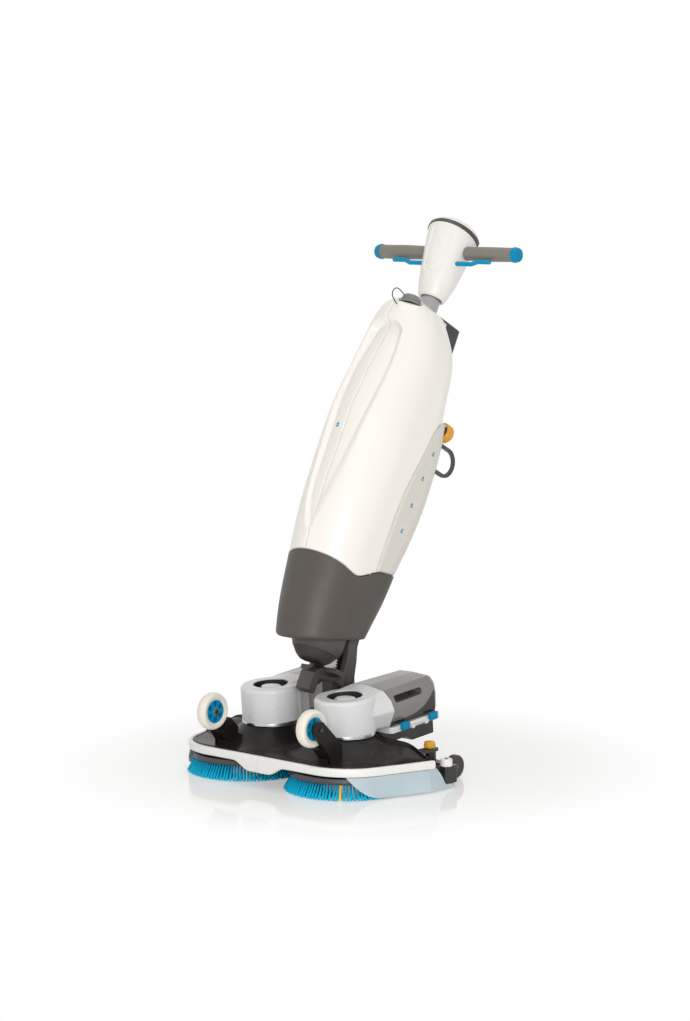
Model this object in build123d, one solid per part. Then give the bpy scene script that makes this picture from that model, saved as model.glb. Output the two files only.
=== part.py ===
from build123d import *
import os
from math import acos, asin, atan2, cos, degrees, hypot, pi, radians, sin, sqrt, tan

# Upright floor scrubber. X points to the operator's left, Y towards the operator, Z up, in mm.
# While modelling, the floor is Z = 0 and the two brush axes stand at X = +-BRUSH_X, Y = 0.
# At the end the whole model is moved so that the middle of its footprint is the origin.

FIT = 0.05              # radial clearance of a turning shaft in its bore
GAP = 1.0               # gap between neighbouring mouldings

# Brushes and the gear pair above each
BRUSH_X = 140.0         # brush axis to mid-plane
BRUSH_R = 130.0         # bristle tips on the floor
BRISTLE_H = 31.0        # free height of the bristles
FLARE = 17.0            # how far tips stand out past roots
STRAND = 5.0            # side of one bunch of bristles
DISC_T = 12.0           # brush disc thickness
MODULE = 2.0            # gear module
BRUSH_TEETH = 36
PINION_TEETH = 16
GEAR_T = 10.0           # gear face width
BACKLASH = 0.3
SPINDLE_R = 8.0         # brush spindle
PINION_SHAFT_R = 5.0
DRIVE_BEARING = 131.3   # direction from brush axis to motor axis, seen from above, degrees from +X

# Deck, bumper and skirts
DECK_X = 308.0          # bumper outer face at the rear corners, from mid-plane
DECK_FRONT = -119.0     # bumper outer face at the front
DECK_REAR = 95.0
DECK_NOSE_X = 235.0     # where the side line would meet the front line
CORNER_R = 117.0        # front corners
BUMPER_T = 9.0
RIM_Z = 48.0            # underside of the rim
DECK_Z = 66.0           # flat top of the deck
SKIN = 5.0              # deck wall
CONE_R = 115.0          # foot of the raised cone under each motor
CONE_TOP_R = 62.0
CONE_H = 37.0
NOSE_DROP = 18.0        # the bumper's drop at the mid-plane
SKIRT_T = 1.6

# Drive housings, batteries and their bases
DRIVE_TILT = 4.5        # housings and batteries rise to the rear
HOUSING_R = 65.0
HOUSING_H = 73.0
HOUSING_LIFT = 10.0     # flange height under the housing at its axis
HOUSING_HOLE_R = 38.0
SHELL = 4.0             # moulded wall of housings and lower housing
JOINT_Y = 71.0          # housing axis to battery joint
BATTERY_L = 160.0
BASE_T = 13.0           # white base under a battery
TRAY_H = 36.0
SLOT_L = 93.0           # hand slot in a battery
SLOT_H = 14.0
SLOT_D = 42.0

# Transport wheels on the front of the deck
TWHEEL_X = 141.0
TWHEEL_Y = -107.0
TWHEEL_Z = 142.0
TWHEEL_R = 40.0
TWHEEL_W = 24.0
THUB_R = 25.0
AXLE_R = 4.0
ARM_T = 14.0

# Squeegee, its rear wheels and corner rollers
SQ_MID_Y = 188.0        # middle of the squeegee bar
SQ_R = 1400.0           # plan radius of the bar
SQ_HALF = 288.0
SQ_W = 22.0
SQ_Z0 = 28.0
SQ_Z1 = 46.0
BLADE_T = 3.0
LINK_X = 235.0
LINK_W = 24.0
KNOB_Y = 160.0
KNOB_R = 13.0
ROLLER_X = 298.0
ROLLER_Y = 138.0
ROLLER_R = 13.0
ROLLER_H = 16.0
RWHEEL_X = 250.0
RWHEEL_Y = 224.0
RWHEEL_R = 25.0
RWHEEL_W = 15.0

# Two-axis joint between deck and body
LEAN = 27.5             # body leans back in the modelled pose
PIN_Y = 110.0           # lean pin
PIN_Z = 201.0
PIN_R = 8.0
ROLL_DROP = 51.0        # roll pin below lean pin
CROSS_W = 22.0          # cross length along the roll pin
LUG_T = 7.5
ARM_X = 38.0            # inner face of the yoke arms
YOKE_T = 12.0
HOSE_R = 18.5
HOSE_BORE = 14.0
HOSE_PITCH = 9.0

# Body, in its own leaning frame: v runs back, w runs up from the lean pin
AXIS_V = -72.0          # tube, head and vacuum drum axis
CUP_W0 = 94.0           # underside of the lower housing at v = 0
CUP_SLOPE = 0.368
DRUM_R = 50.0
DRUM_W = 37.0
GRILLE_W = 12.0
GRILLE_RIBS = 40
WALL = 3.0              # tank wall
TUBE_R = 21.5
TUBE_W0 = 168.0
TUBE_W1 = 905.0
SPLIT_TOP = (4.0, 605.0)     # rear tank split line, top
SPLIT_LOW = (-56.0, 250.0)   # rear tank split line, bottom
CAP_X = 24.0
CAP_V = -158.0
CAP_W = 808.0
CAP_R = 21.5
PLUG_X = 58.0
PLUG_W = 592.0
PLUG_R = 21.0
STRAP_R = 29.0
STRAP_W = 534.0

# Head and handlebar
RING_W = 1012.0
RING_TILT = 19.0
RING_R = 58.0
DOME_H = 22.0
BAR_V = -69.0
BAR_W = 973.0
BAR_R = 11.0
GRIP_R = 15.5
GRIP_X0 = 55.0
GRIP_X1 = 180.0
BAR_END = 209.0
LEVER_V = -80.0
LEVER_W = 943.0
LEVER_R = 5.0
LEVER_PIVOT_X = 36.0
LEVER_END_X = 134.0

# Half-width, front, rear and rear corner radius of the body at each height w
STATIONS = [
    (0, 67, -161, 0, 45), (100, 78, -190, 13, 50), (200, 89, -204, 23, 55), (300, 95, -217, 27, 58),
    (450, 102, -221, 25, 60), (550, 103, -219, 19, 60), (650, 100, -205, 4, 60), (740, 90, -193, -9, 56),
    (800, 70, -182, -37, 45), (825, 50, -166, -66, 30), (840, 26, -141, -88, 15), (844, 12, -125, -99, 6),
]
# Half-width and rear face of the rear tank at each height w
REAR_STATIONS = [
    (225, 88, 27), (300, 93, 34), (400, 98, 42), (500, 98, 38), (605, 95, 27),
]
REAR_CORNER = 50.0
# Waved joint between lower housing and tanks, (v, w)
JOINT = [(-260, 222), (-206, 216), (-150, 203), (-120, 197), (-70, 222), (-15, 238), (30, 247), (120, 252)]
# Front recess: half-width at each height w
RECESS = [(48, 735), (57, 650), (56, 560), (45, 430), (27, 320), (14, 282)]
RECESS_TOP = 762.0
RECESS_LOW = 262.0
RECESS_D = 11.0

MOTOR_D = MODULE * (BRUSH_TEETH + PINION_TEETH) / 2
MOTOR_X = BRUSH_X + MOTOR_D * cos(radians(DRIVE_BEARING))
MOTOR_Y = MOTOR_D * sin(radians(DRIVE_BEARING))
GEAR_Z = BRISTLE_H + DISC_T + 2
PLATEAU_Z = DECK_Z + CONE_H
DRIVE_Z = PLATEAU_Z + HOUSING_LIFT + HOUSING_H / 2
ROLL_Z = PIN_Z - ROLL_DROP
CROSS_Y0 = PIN_Y - CROSS_W / 2
CROSS_Y1 = PIN_Y + CROSS_W / 2


def solid(*points):
    """Closed straight-sided face through 3-D points."""
    return make_face(Polyline(*points, close=True))


def turned(*profile):
    """Solid of revolution about Z from (radius, height) points."""
    return revolve(solid(*[(r, 0, z) for r, z in profile]), axis=Axis.Z)


def side_plate(points, x0, x1):
    """Plate between x0 and x1 with its outline given as (y, z)."""
    return Pos(x0, 0, 0) * extrude(solid(*[(0, y, z) for y, z in points]), amount=x1 - x0, dir=(1, 0, 0))


def rod_x(r, x0, x1, y, z):
    return Pos((x0 + x1) / 2, y, z) * Rot(0, 90, 0) * Cylinder(r, x1 - x0)


def rod_y(r, y0, y1, x, z):
    return Pos(x, (y0 + y1) / 2, z) * Rot(90, 0, 0) * Cylinder(r, y1 - y0)


def rod_z(r, z0, z1, x, y):
    return Pos(x, y, (z0 + z1) / 2) * Cylinder(r, z1 - z0)


def block(x0, x1, y0, y1, z0, z1):
    return Pos((x0 + x1) / 2, (y0 + y1) / 2, (z0 + z1) / 2) * Box(x1 - x0, y1 - y0, z1 - z0)


def both(part):
    """A left-hand piece together with its mirror image."""
    return part + mirror(part, about=Plane.YZ)


def lean(part):
    """From the body's own frame to the deck's."""
    return Pos(0, PIN_Y, PIN_Z) * Rot(-LEAN, 0, 0) * part


def drive(part):
    """From the left drive's tilted frame, centred in the housing, to the deck's."""
    return Pos(MOTOR_X, MOTOR_Y, DRIVE_Z) * Rot(DRIVE_TILT, 0, 0) * part


# Brushes

def gear_face(teeth, turn):
    r = MODULE * teeth / 2
    base = r * cos(radians(20))
    flank = [r - 1.25 * MODULE, base, r, r + 0.9 * MODULE]
    half = (pi * MODULE / 2 - BACKLASH) / 2 / r

    def roll(q):
        return sqrt((q / base) ** 2 - 1) - acos(base / q) if q > base else 0

    points = []
    for k in range(teeth):
        middle = turn + 2 * pi * k / teeth
        for side, radii in ((-1, flank), (1, flank[::-1])):
            for q in radii:
                a = middle + side * (half + roll(r) - roll(q))
                points.append((q * cos(a), q * sin(a), 0))
    return solid(*points)


def strand(root_r, tip_r):
    h = STRAND / 2

    def end(r, z):
        return solid((r - h, -h, z), (r + h, -h, z), (r + h, h, z), (r - h, h, z))

    return loft([end(tip_r, 0), end(root_r, BRISTLE_H - 1)], ruled=True)


def bristles():
    tip = BRUSH_R / cos(atan2(STRAND / 2, BRUSH_R)) - STRAND / 2 - 0.1
    backing = turned((tip - FLARE - 46, BRISTLE_H - 2), (tip - FLARE + 6, BRISTLE_H - 2),
                     (tip - FLARE + 6, BRISTLE_H), (tip - FLARE - 46, BRISTLE_H))
    strands = []
    for row, count in ((0, 74), (18, 62), (36, 50)):
        one = strand(tip - FLARE - row, tip - row)
        strands += [Rot(0, 0, 360 * (k + 0.5) / count) * one for k in range(count)]
    return Pos(BRUSH_X, 0, 0) * backing.fuse(*strands)


def brush_disc():
    z0 = BRISTLE_H
    z1 = z0 + DISC_T
    rim = BRUSH_R - FLARE + 5
    ring = turned((20, z0), (rim - 2, z0), (rim, z0 + 4), (rim - 2, z1), (rim - 12, z1), (rim - 16, z1 - 3),
                  (60, z1 - 3), (56, z1), (20, z1))
    return Pos(BRUSH_X, 0, 0) * ring


def brush_hub():
    face = gear_face(BRUSH_TEETH, radians(DRIVE_BEARING))
    toothed = Pos(0, 0, GEAR_Z) * extrude(face, amount=GEAR_T, dir=(0, 0, 1))
    plug = turned((0, BRISTLE_H), (20, BRISTLE_H), (20, GEAR_Z - 2), (28, GEAR_Z - 2), (28, GEAR_Z + 0.5),
                  (0, GEAR_Z + 0.5))
    spindle = rod_z(SPINDLE_R, GEAR_Z + GEAR_T - 0.5, PLATEAU_Z - 8, 0, 0)
    return Pos(BRUSH_X, 0, 0) * (toothed + plug + spindle)


def pinion():
    turn = radians(DRIVE_BEARING) + pi + pi / PINION_TEETH
    toothed = Pos(0, 0, GEAR_Z) * extrude(gear_face(PINION_TEETH, turn), amount=GEAR_T, dir=(0, 0, 1))
    shaft = rod_z(PINION_SHAFT_R, GEAR_Z + GEAR_T - 0.5, PLATEAU_Z + 9, 0, 0)
    return Pos(MOTOR_X, MOTOR_Y, 0) * (toothed + shaft)


# Deck

def outline(inset, rear=0.0):
    """Plan of the deck, moved in by inset; the rear edge moves by rear."""
    slope = (DECK_X - DECK_NOSE_X) / (DECK_REAR - DECK_FRONT)
    side = inset * sqrt(1 + slope ** 2)
    y0 = DECK_FRONT + inset
    y1 = DECK_REAR - rear
    x0 = DECK_NOSE_X + slope * inset - side
    x1 = DECK_NOSE_X + slope * (y1 - DECK_FRONT) - side
    front = FilletPolyline((x1, y1), (x0, y0), (-x0, y0), (-x1, y1), radius=CORNER_R - inset)
    return make_face(front + Line((-x1, y1), (x1, y1)))


def prism(face, z0, z1):
    return Pos(0, 0, z0) * extrude(face, amount=z1 - z0, dir=(0, 0, 1))


def deck_form(inset, rear, z0, z1):
    """Flat deck with the two motor cones, cut off at the deck's outline."""
    plan = outline(inset, rear)
    drop = DECK_Z - z1
    cone = Cone(CONE_R - drop * 0.6, CONE_TOP_R - drop * 0.6, CONE_H)
    cones = [Pos(s * MOTOR_X, MOTOR_Y, z1 + CONE_H / 2) * cone for s in (1, -1)]
    return prism(plan, z0, z1) + (prism(plan, z1 - 1, z1 + CONE_H + 1) & (cones[0] + cones[1]))


DECK_SOLID = deck_form(BUMPER_T, 0, RIM_Z, DECK_Z)


def deck_shell():
    shell = DECK_SOLID - deck_form(BUMPER_T + SKIN, SKIN, RIM_Z - 1, DECK_Z - SKIN)
    for s in (1, -1):
        shell += rod_z(SPINDLE_R + 6, DECK_Z - 4, PLATEAU_Z - 4, s * BRUSH_X, 0)
        shell -= rod_z(SPINDLE_R + FIT, DECK_Z - 5, PLATEAU_Z - 7, s * BRUSH_X, 0)
        shell -= rod_z(PINION_SHAFT_R + 5, DECK_Z, PLATEAU_Z + 1, s * MOTOR_X, MOTOR_Y)
    return shell


def bumper_halves():
    strip = prism(outline(0), RIM_Z, DECK_Z) - prism(outline(BUMPER_T), RIM_Z - 1, DECK_Z + 1)
    strip -= block(-DECK_X - 1, DECK_X + 1, DECK_REAR - 3, DECK_REAR + 1, RIM_Z - 1, DECK_Z + 1)
    low = RIM_Z - NOSE_DROP
    drop = solid((70, DECK_FRONT, RIM_Z), (26, DECK_FRONT, low), (-26, DECK_FRONT, low), (-70, DECK_FRONT, RIM_Z))
    strip += extrude(drop, amount=BUMPER_T, dir=(0, 1, 0))
    left = strip & block(GAP / 3, DECK_X + 1, DECK_FRONT - 1, DECK_REAR, 0, DECK_Z + 1)
    return both(left)


def skirt_plan(inset):
    """Line of the skirts seen from above: the deck's side, then straight back past the squeegee's ends."""
    slope = (DECK_X - DECK_NOSE_X) / (DECK_REAR - DECK_FRONT)
    x1 = DECK_X - 6 - inset
    y0 = DECK_FRONT + inset
    y1 = y0 + (x1 - DECK_NOSE_X + inset) / slope
    x0 = DECK_NOSE_X - inset
    rear = ROLLER_Y + 30
    front = FilletPolyline((x1, y1), (x0, y0), (-x0, y0), (-x1, y1), radius=CORNER_R - inset)
    return make_face(front + Polyline((-x1, y1), (-x1, rear), (x1, rear), (x1, y1)))


def side_skirts():
    top = RIM_Z - 0.5
    deep = top - 3
    outer = Pos(0, 0, top) * extrude(skirt_plan(2), amount=deep, dir=(0, 0, -1), taper=-8)
    inner = Pos(0, 0, top) * extrude(skirt_plan(2 + SKIRT_T), amount=deep, dir=(0, 0, -1), taper=-8)
    y1 = ROLLER_Y - 10
    kept = side_plate([(-80, top + 1), (-70, 26), (-20, 2), (y1 + 24, 2), (y1 + 24, 8.5), (y1, 9), (y1 - 10, 30),
                       (104, top + 1)], 200, DECK_X + 60)
    return both((outer - inner) & kept)


# Drives and batteries

FRONT_FORM = [(-50, -37), (50, -37), (63, -3), (58, 18), (44, 32), (2, 36), (-50, 36)]
JOINT_FORM = [(-44, -42), (57, -42), (75, -3), (66, 18), (46, 36), (2, 43), (-44, 43)]
END_FORM = [(-40, -42), (61, -42), (62, -3), (58, 24), (46, 38), (2, 41), (-40, 40)]


def drive_face(form, y, grow=1.0, corner=9.0):
    points = [(x * grow, y, z * grow) for x, z in form]
    return make_face(FilletPolyline(*points, radius=corner * grow, close=True))


def motor_housings():
    z0 = -HOUSING_H / 2
    body = Cylinder(HOUSING_R, HOUSING_H)
    body = fillet(body.edges().group_by(Axis.Z)[-1], 8)
    inset = 1 - SHELL / 50
    body += loft([drive_face(FRONT_FORM, 0), drive_face(JOINT_FORM, JOINT_Y)], ruled=True)
    inner = Pos(0, 0, -SHELL) * Cylinder(HOUSING_R - SHELL, HOUSING_H)
    inner += loft([drive_face(FRONT_FORM, 0, inset), drive_face(JOINT_FORM, JOINT_Y - SHELL, inset)],
                  ruled=True)
    body -= inner
    body -= rod_z(HOUSING_HOLE_R, 0, HOUSING_H, 0, 0)
    body -= block(-HOUSING_R - 20, HOUSING_R + 20, -HOUSING_R, JOINT_Y - SHELL, z0 - 40, z0)
    return both(drive(body))


def motors():
    top = PLATEAU_Z + HOUSING_LIFT + HOUSING_H - 6
    r = HOUSING_HOLE_R + 2
    bore = PINION_SHAFT_R + FIT
    can = turned((bore, PLATEAU_Z), (r, PLATEAU_Z), (r, top - 22), (r - 6, top - 12), (r - 18, top - 3),
                 (0.01, top), (0.01, PLATEAU_Z + 10), (bore, PLATEAU_Z + 10))
    return both(Pos(MOTOR_X, MOTOR_Y, 0) * can)


def motor_flanges():
    ring = rod_z(HOUSING_R - 1.5, PLATEAU_Z, PLATEAU_Z + 40, 0, 0) - rod_z(HOUSING_HOLE_R + 5, 0, 300, 0, 0)
    above = drive(block(-200, 200, -200, 200, -HOUSING_H / 2, 100))
    return both((Pos(MOTOR_X, MOTOR_Y, 0) * ring) - above)


BASE_TOP = JOINT_FORM[0][1] - 0.4
BASE_X = END_FORM[1][0] + 2
LATCH_X = BASE_X + 3.0
LATCH_Z = BASE_TOP - BASE_T + 4
LATCH_YS = (112.0, 204.0)
LUG_YS = (136.0, 180.0)
ROD_R = 2.0
TAB_L = 25.0


def battery_bases():
    y1 = JOINT_Y + BATTERY_L + 3
    plate = block(-40, BASE_X, JOINT_Y + 1, y1, BASE_TOP - BASE_T, BASE_TOP)
    plate = fillet(plate.edges().filter_by(Axis.Z), 8)
    for y in LUG_YS:
        lug = block(BASE_X - 1, LATCH_X + 4, y - 4, y + 4, BASE_TOP - BASE_T, LATCH_Z + 4)
        plate += lug - rod_y(ROD_R + FIT, y - 5, y + 5, LATCH_X, LATCH_Z)
    return both(drive(plate))


def battery_trays():
    z1 = BASE_TOP - BASE_T
    y1 = JOINT_Y + BATTERY_L
    tray = side_plate([(40, z1), (y1, z1), (y1, z1 - TRAY_H), (y1 - 70, z1 - TRAY_H), (y1 - 90, z1 - 24),
                       (40, z1 - 24)], -30, 44)
    return both(drive(tray) - DECK_SOLID - block(-1, DECK_X, -10, DECK_REAR, 0, PLATEAU_Z + 60))


def battery():
    y0 = JOINT_Y + 0.4
    y1 = JOINT_Y + BATTERY_L
    pack = loft([drive_face(JOINT_FORM, y0), drive_face(END_FORM, y1 - 12)], ruled=True)
    pack += loft([drive_face(END_FORM, y1 - 12), drive_face(END_FORM, y1, 0.88)], ruled=True)
    slot = block(LATCH_X - SLOT_D, LATCH_X + 30, y0 + 12, y0 + 12 + SLOT_L, 10, 10 + SLOT_H)
    pack -= fillet(slot.edges().filter_by(Axis.X), SLOT_H / 2 - 0.5)
    return drive(pack)


def latches():
    z1 = LATCH_Z + 15
    rod = rod_y(ROD_R, LATCH_YS[0] - 10, LATCH_YS[1] + 10, LATCH_X, LATCH_Z)
    for y in LATCH_YS:
        tab = block(BASE_X + 0.8, BASE_X + 7, y - TAB_L / 2, y + TAB_L / 2, LATCH_Z - ROD_R, z1)
        rod += fillet(tab.edges().filter_by(Axis.X), 3)
    return drive(rod)


# Transport wheels

def transport_arms():
    x0 = TWHEEL_X + TWHEEL_W / 2 + 3
    eye = TWHEEL_R * 0.45
    plate = rod_x(eye, x0, x0 + ARM_T, TWHEEL_Y, TWHEEL_Z)
    plate += side_plate([(TWHEEL_Y - eye, TWHEEL_Z), (TWHEEL_Y - 2, DECK_Z - 4), (-38, DECK_Z - 4),
                         (-38, 98), (TWHEEL_Y + eye * 0.8, TWHEEL_Z + eye * 0.6)], x0, x0 + ARM_T)
    plate -= DECK_SOLID
    plate -= prism(outline(0), 0, DECK_Z)
    plate -= rod_x(AXLE_R, 0, x0 + ARM_T + 1, TWHEEL_Y, TWHEEL_Z)
    return both(plate)


def transport_tyre():
    h = TWHEEL_W / 2
    r = TWHEEL_R
    crown = ThreePointArc((r - 7, 0, -h), (r, 0, 0), (r - 7, 0, h))
    ring = make_face(crown + Polyline((r - 7, 0, h), (THUB_R, 0, h - 3), (THUB_R, 0, 3 - h), (r - 7, 0, -h)))
    return Pos(TWHEEL_X, TWHEEL_Y, TWHEEL_Z) * Rot(0, 90, 0) * revolve(ring, axis=Axis.Z)


def transport_hub():
    h = TWHEEL_W / 2 - 3
    hub = Cylinder(THUB_R, 2 * h)
    for k in range(6):
        hub -= Rot(0, 0, 60 * k) * (Pos(THUB_R * 0.68, 0, 0) * Cylinder(THUB_R * 0.2, 3 * h))
    hub += Cylinder(AXLE_R + 5, TWHEEL_W)
    hub -= Cylinder(AXLE_R + FIT, TWHEEL_W + 2)
    return Pos(TWHEEL_X, TWHEEL_Y, TWHEEL_Z) * Rot(0, 90, 0) * hub


def axles():
    """Steel pins: transport wheels, rear wheels, corner rollers and the roll pin."""
    x0 = TWHEEL_X - TWHEEL_W / 2 - 2
    pins = [rod_x(AXLE_R, x0, TWHEEL_X + TWHEEL_W / 2 + 3 + ARM_T, TWHEEL_Y, TWHEEL_Z)]
    pins.append(rod_x(AXLE_R, RWHEEL_X - RWHEEL_W / 2 - 6, RWHEEL_X + RWHEEL_W / 2 + 2, RWHEEL_Y, RWHEEL_R))
    pins.append(rod_z(AXLE_R - 1, SQ_Z1 - 12, SQ_Z1 + ROLLER_H + 2, ROLLER_X, ROLLER_Y))
    pins += [mirror(p, about=Plane.YZ) for p in pins]
    pins.append(rod_y(PIN_R, CROSS_Y0 - 0.5 - LUG_T, CROSS_Y1 + 0.5 + LUG_T, 0, ROLL_Z))
    return Part() + pins


# Squeegee

def bar(r0, r1, z0, z1):
    """Stretch of a big ring behind the brushes, between the squeegee's ends."""
    centre = SQ_MID_Y - SQ_R
    a = degrees(asin(SQ_HALF / SQ_R))
    outer = CenterArc((0, centre), r1, 90 - a, 2 * a)
    inner = CenterArc((0, centre), r0, 90 - a, 2 * a)
    face = make_face(outer + inner + Line(outer @ 0, inner @ 0) + Line(outer @ 1, inner @ 1))
    return prism(face, z0, z1)


HOSE_TOP = (PIN_Y + 55.7, PIN_Z + 71.9)      # hose end under the lower housing
HOSE_MID = (PIN_Y + 38.5, PIN_Z - 4.5)       # both hose axes meet here, inside the collar
HOSE_LOW = (PIN_Y + 42.5, DECK_Z + 18)       # hose end on the suction spout
COLLAR = 7.0


def hose_frame(start, end, part):
    """Stand a part made along Z on the straight line from start to end, given as (y, z)."""
    turn = degrees(atan2(end[0] - start[0], end[1] - start[1]))
    return Pos(0, start[0], start[1]) * Rot(-turn, 0, 0) * part


def squeegee_carrier():
    frame = bar(SQ_R - SQ_W / 2, SQ_R + SQ_W / 2, SQ_Z0, SQ_Z1)
    y_link = SQ_MID_Y - SQ_R + sqrt(SQ_R ** 2 - LINK_X ** 2)
    y_end = SQ_MID_Y - SQ_R + sqrt(SQ_R ** 2 - SQ_HALF ** 2)
    for s in (1, -1):
        link = block(LINK_X - LINK_W / 2, LINK_X + LINK_W / 2, DECK_REAR - 30, y_link + SQ_W / 2,
                     DECK_Z, DECK_Z + 6)
        link = fillet(link.edges().filter_by(Axis.Z), 8)
        link += rod_z(LINK_W / 2, SQ_Z1 - 1, DECK_Z + 1, LINK_X, KNOB_Y + 2)
        link -= rod_z(AXLE_R + FIT, SQ_Z1 + 4, DECK_Z + 7, LINK_X, KNOB_Y)
        post = block(ROLLER_X - 14, ROLLER_X + 8, ROLLER_Y - 9, y_end + SQ_W / 2 - 2, 10, SQ_Z1)
        post = fillet(post.edges().filter_by(Axis.Z), 5)
        post -= rod_z(AXLE_R - 1, SQ_Z1 - 12, SQ_Z1 + 1, ROLLER_X, ROLLER_Y)
        x1 = RWHEEL_X - RWHEEL_W / 2 - 1
        fork = side_plate([(y_link - 6, SQ_Z1 - 2), (y_link + 14, SQ_Z1 - 2), (RWHEEL_Y + 9, RWHEEL_R + 6),
                           (RWHEEL_Y + 9, RWHEEL_R - 8), (RWHEEL_Y - 8, RWHEEL_R - 8), (y_link - 6, SQ_Z0 + 2)],
                          x1 - 5, x1)
        fork -= rod_x(AXLE_R, x1 - 6, x1 + 1, RWHEEL_Y, RWHEEL_R)
        arm = link + post + fork
        frame += arm if s == 1 else mirror(arm, about=Plane.YZ)
    spout = block(-26, 26, HOSE_LOW[0] - 22, SQ_MID_Y, SQ_Z1 - 8, SQ_Z1 + 16)
    spout = fillet(spout.edges().filter_by(Axis.Z), 10)
    frame += spout
    frame += hose_frame(HOSE_LOW, HOSE_MID, rod_z(HOSE_R + 2.5, -26, 0, 0, 0))
    frame -= hose_frame(HOSE_LOW, HOSE_MID, rod_z(HOSE_BORE, -34, 1, 0, 0))
    return frame - DECK_SOLID - bar(SQ_R + SQ_W / 2, SQ_R + SQ_W / 2 + BLADE_T, 0, SQ_Z1 - 4) \
        - bar(SQ_R - SQ_W / 2 - BLADE_T, SQ_R - SQ_W / 2, 0, SQ_Z1 - 4)


def squeegee_blades():
    rear = bar(SQ_R + SQ_W / 2, SQ_R + SQ_W / 2 + BLADE_T, 0, SQ_Z1 - 4)
    front = bar(SQ_R - SQ_W / 2 - BLADE_T, SQ_R - SQ_W / 2, 0, SQ_Z1 - 4)
    return rear + front


def squeegee_knob():
    z0 = DECK_Z + 6.4
    grip = turned((0, z0), (KNOB_R - 3, z0), (KNOB_R, z0 + 4), (KNOB_R - 2, z0 + 14), (0, z0 + 16))
    for k in range(8):
        grip -= Rot(0, 0, 45 * k) * rod_z(2.5, z0 - 1, z0 + 17, KNOB_R + 0.6, 0)
    grip += rod_z(AXLE_R, SQ_Z1 + 5, z0 + 1, 0, 0)
    return Pos(LINK_X, KNOB_Y, 0) * grip


def corner_roller():
    z0 = SQ_Z1 + 0.5
    z1 = z0 + ROLLER_H
    b = AXLE_R - 1 + FIT
    ring = turned((b, z0), (ROLLER_R - 1.5, z0), (ROLLER_R, z0 + 3), (ROLLER_R, z1 - 3), (ROLLER_R - 1.5, z1),
                  (b, z1))
    return Pos(ROLLER_X, ROLLER_Y, 0) * ring


def rear_wheel():
    h = RWHEEL_W / 2
    b = AXLE_R + FIT
    r = RWHEEL_R
    disc = turned((b, -h), (9, -h), (11, 2 - h), (r - 7, 2 - h), (r - 4, -h), (r - 1.5, -h), (r, 2 - h), (r, h - 2),
                  (r - 1.5, h), (r - 4, h), (r - 7, h - 2), (11, h - 2), (9, h), (b, h))
    return Pos(RWHEEL_X, RWHEEL_Y, RWHEEL_R) * Rot(0, 90, 0) * disc


# Two-axis joint

def pivot_bracket():
    y0 = CROSS_Y0 - 0.5 - LUG_T
    y1 = CROSS_Y1 + 0.5 + LUG_T
    x = 2 * PIN_R
    post = side_plate([(y0 - 30, DECK_Z - 1), (DECK_REAR - 6, DECK_Z - 1), (y1, PLATEAU_Z), (y1, ROLL_Z),
                       (y0, ROLL_Z), (y0 - 10, PLATEAU_Z)], -x, x)
    post += rod_y(x, y0, y1, 0, ROLL_Z)
    post -= block(-x - 1, x + 1, CROSS_Y0 - 0.5, CROSS_Y1 + 0.5, ROLL_Z - x - 3, ROLL_Z + x + 1)
    post -= rod_y(PIN_R, y0 - 1, y1 + 1, 0, ROLL_Z)
    return post - DECK_SOLID


def pivot_cross():
    x = 2 * PIN_R
    body = rod_y(x, CROSS_Y0, CROSS_Y1, 0, ROLL_Z)
    body += block(-x + 2, x - 2, CROSS_Y0 + 1, CROSS_Y1 - 1, ROLL_Z, PIN_Z)
    body += rod_x(PIN_R + 4.5, 1 - ARM_X, ARM_X - 1, PIN_Y, PIN_Z)
    body += rod_x(PIN_R, -ARM_X - YOKE_T - 2, ARM_X + YOKE_T + 2, PIN_Y, PIN_Z)
    body += block(-10, 10, PIN_Y + 5, HOSE_MID[0] - HOSE_R, PIN_Z - 12, PIN_Z)
    body += hose_collar()
    return body - rod_y(PIN_R + FIT, CROSS_Y0 - 1, CROSS_Y1 + 1, 0, ROLL_Z)


def hose_collar():
    """Short elbow that joins the two hoses."""
    middle = Vector(0, *HOSE_MID)
    down, up = [(Vector(0, *end) - middle).normalized() * COLLAR for end in (HOSE_LOW, HOSE_TOP)]
    path = TangentArc(middle + down, middle + up, tangent=-down)
    ring = Circle(HOSE_R + 3) - Circle(HOSE_BORE)
    return sweep(Plane(origin=path @ 0, z_dir=path % 0) * ring, path=path)


def hose(start, end, skip):
    """Corrugated tube from the collar's face to the far end."""
    length = hypot(end[0] - start[0], end[1] - start[1]) - skip
    ribs = round(length / HOSE_PITCH)
    step = length / ribs
    crest = HOSE_R
    trough = HOSE_R - 3
    wall = [(HOSE_BORE, 0), (crest, 0)]
    for k in range(ribs):
        z = k * step
        wall += [(crest, z + step * 0.3), (trough, z + step * 0.45), (trough, z + step * 0.75), (crest, z + step * 0.9)]
    wall += [(crest, length), (HOSE_BORE, length)]
    return hose_frame(start, end, Pos(0, 0, skip) * turned(*wall))


# Body

def below_cup(lift=0.0):
    """Everything under the lower housing's sloping underside, in the body's frame."""
    z = CUP_W0 + lift
    return side_plate([(-400, z - 400 * CUP_SLOPE), (300, z + 300 * CUP_SLOPE), (300, -500), (-400, -500)], -400, 400)


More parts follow.
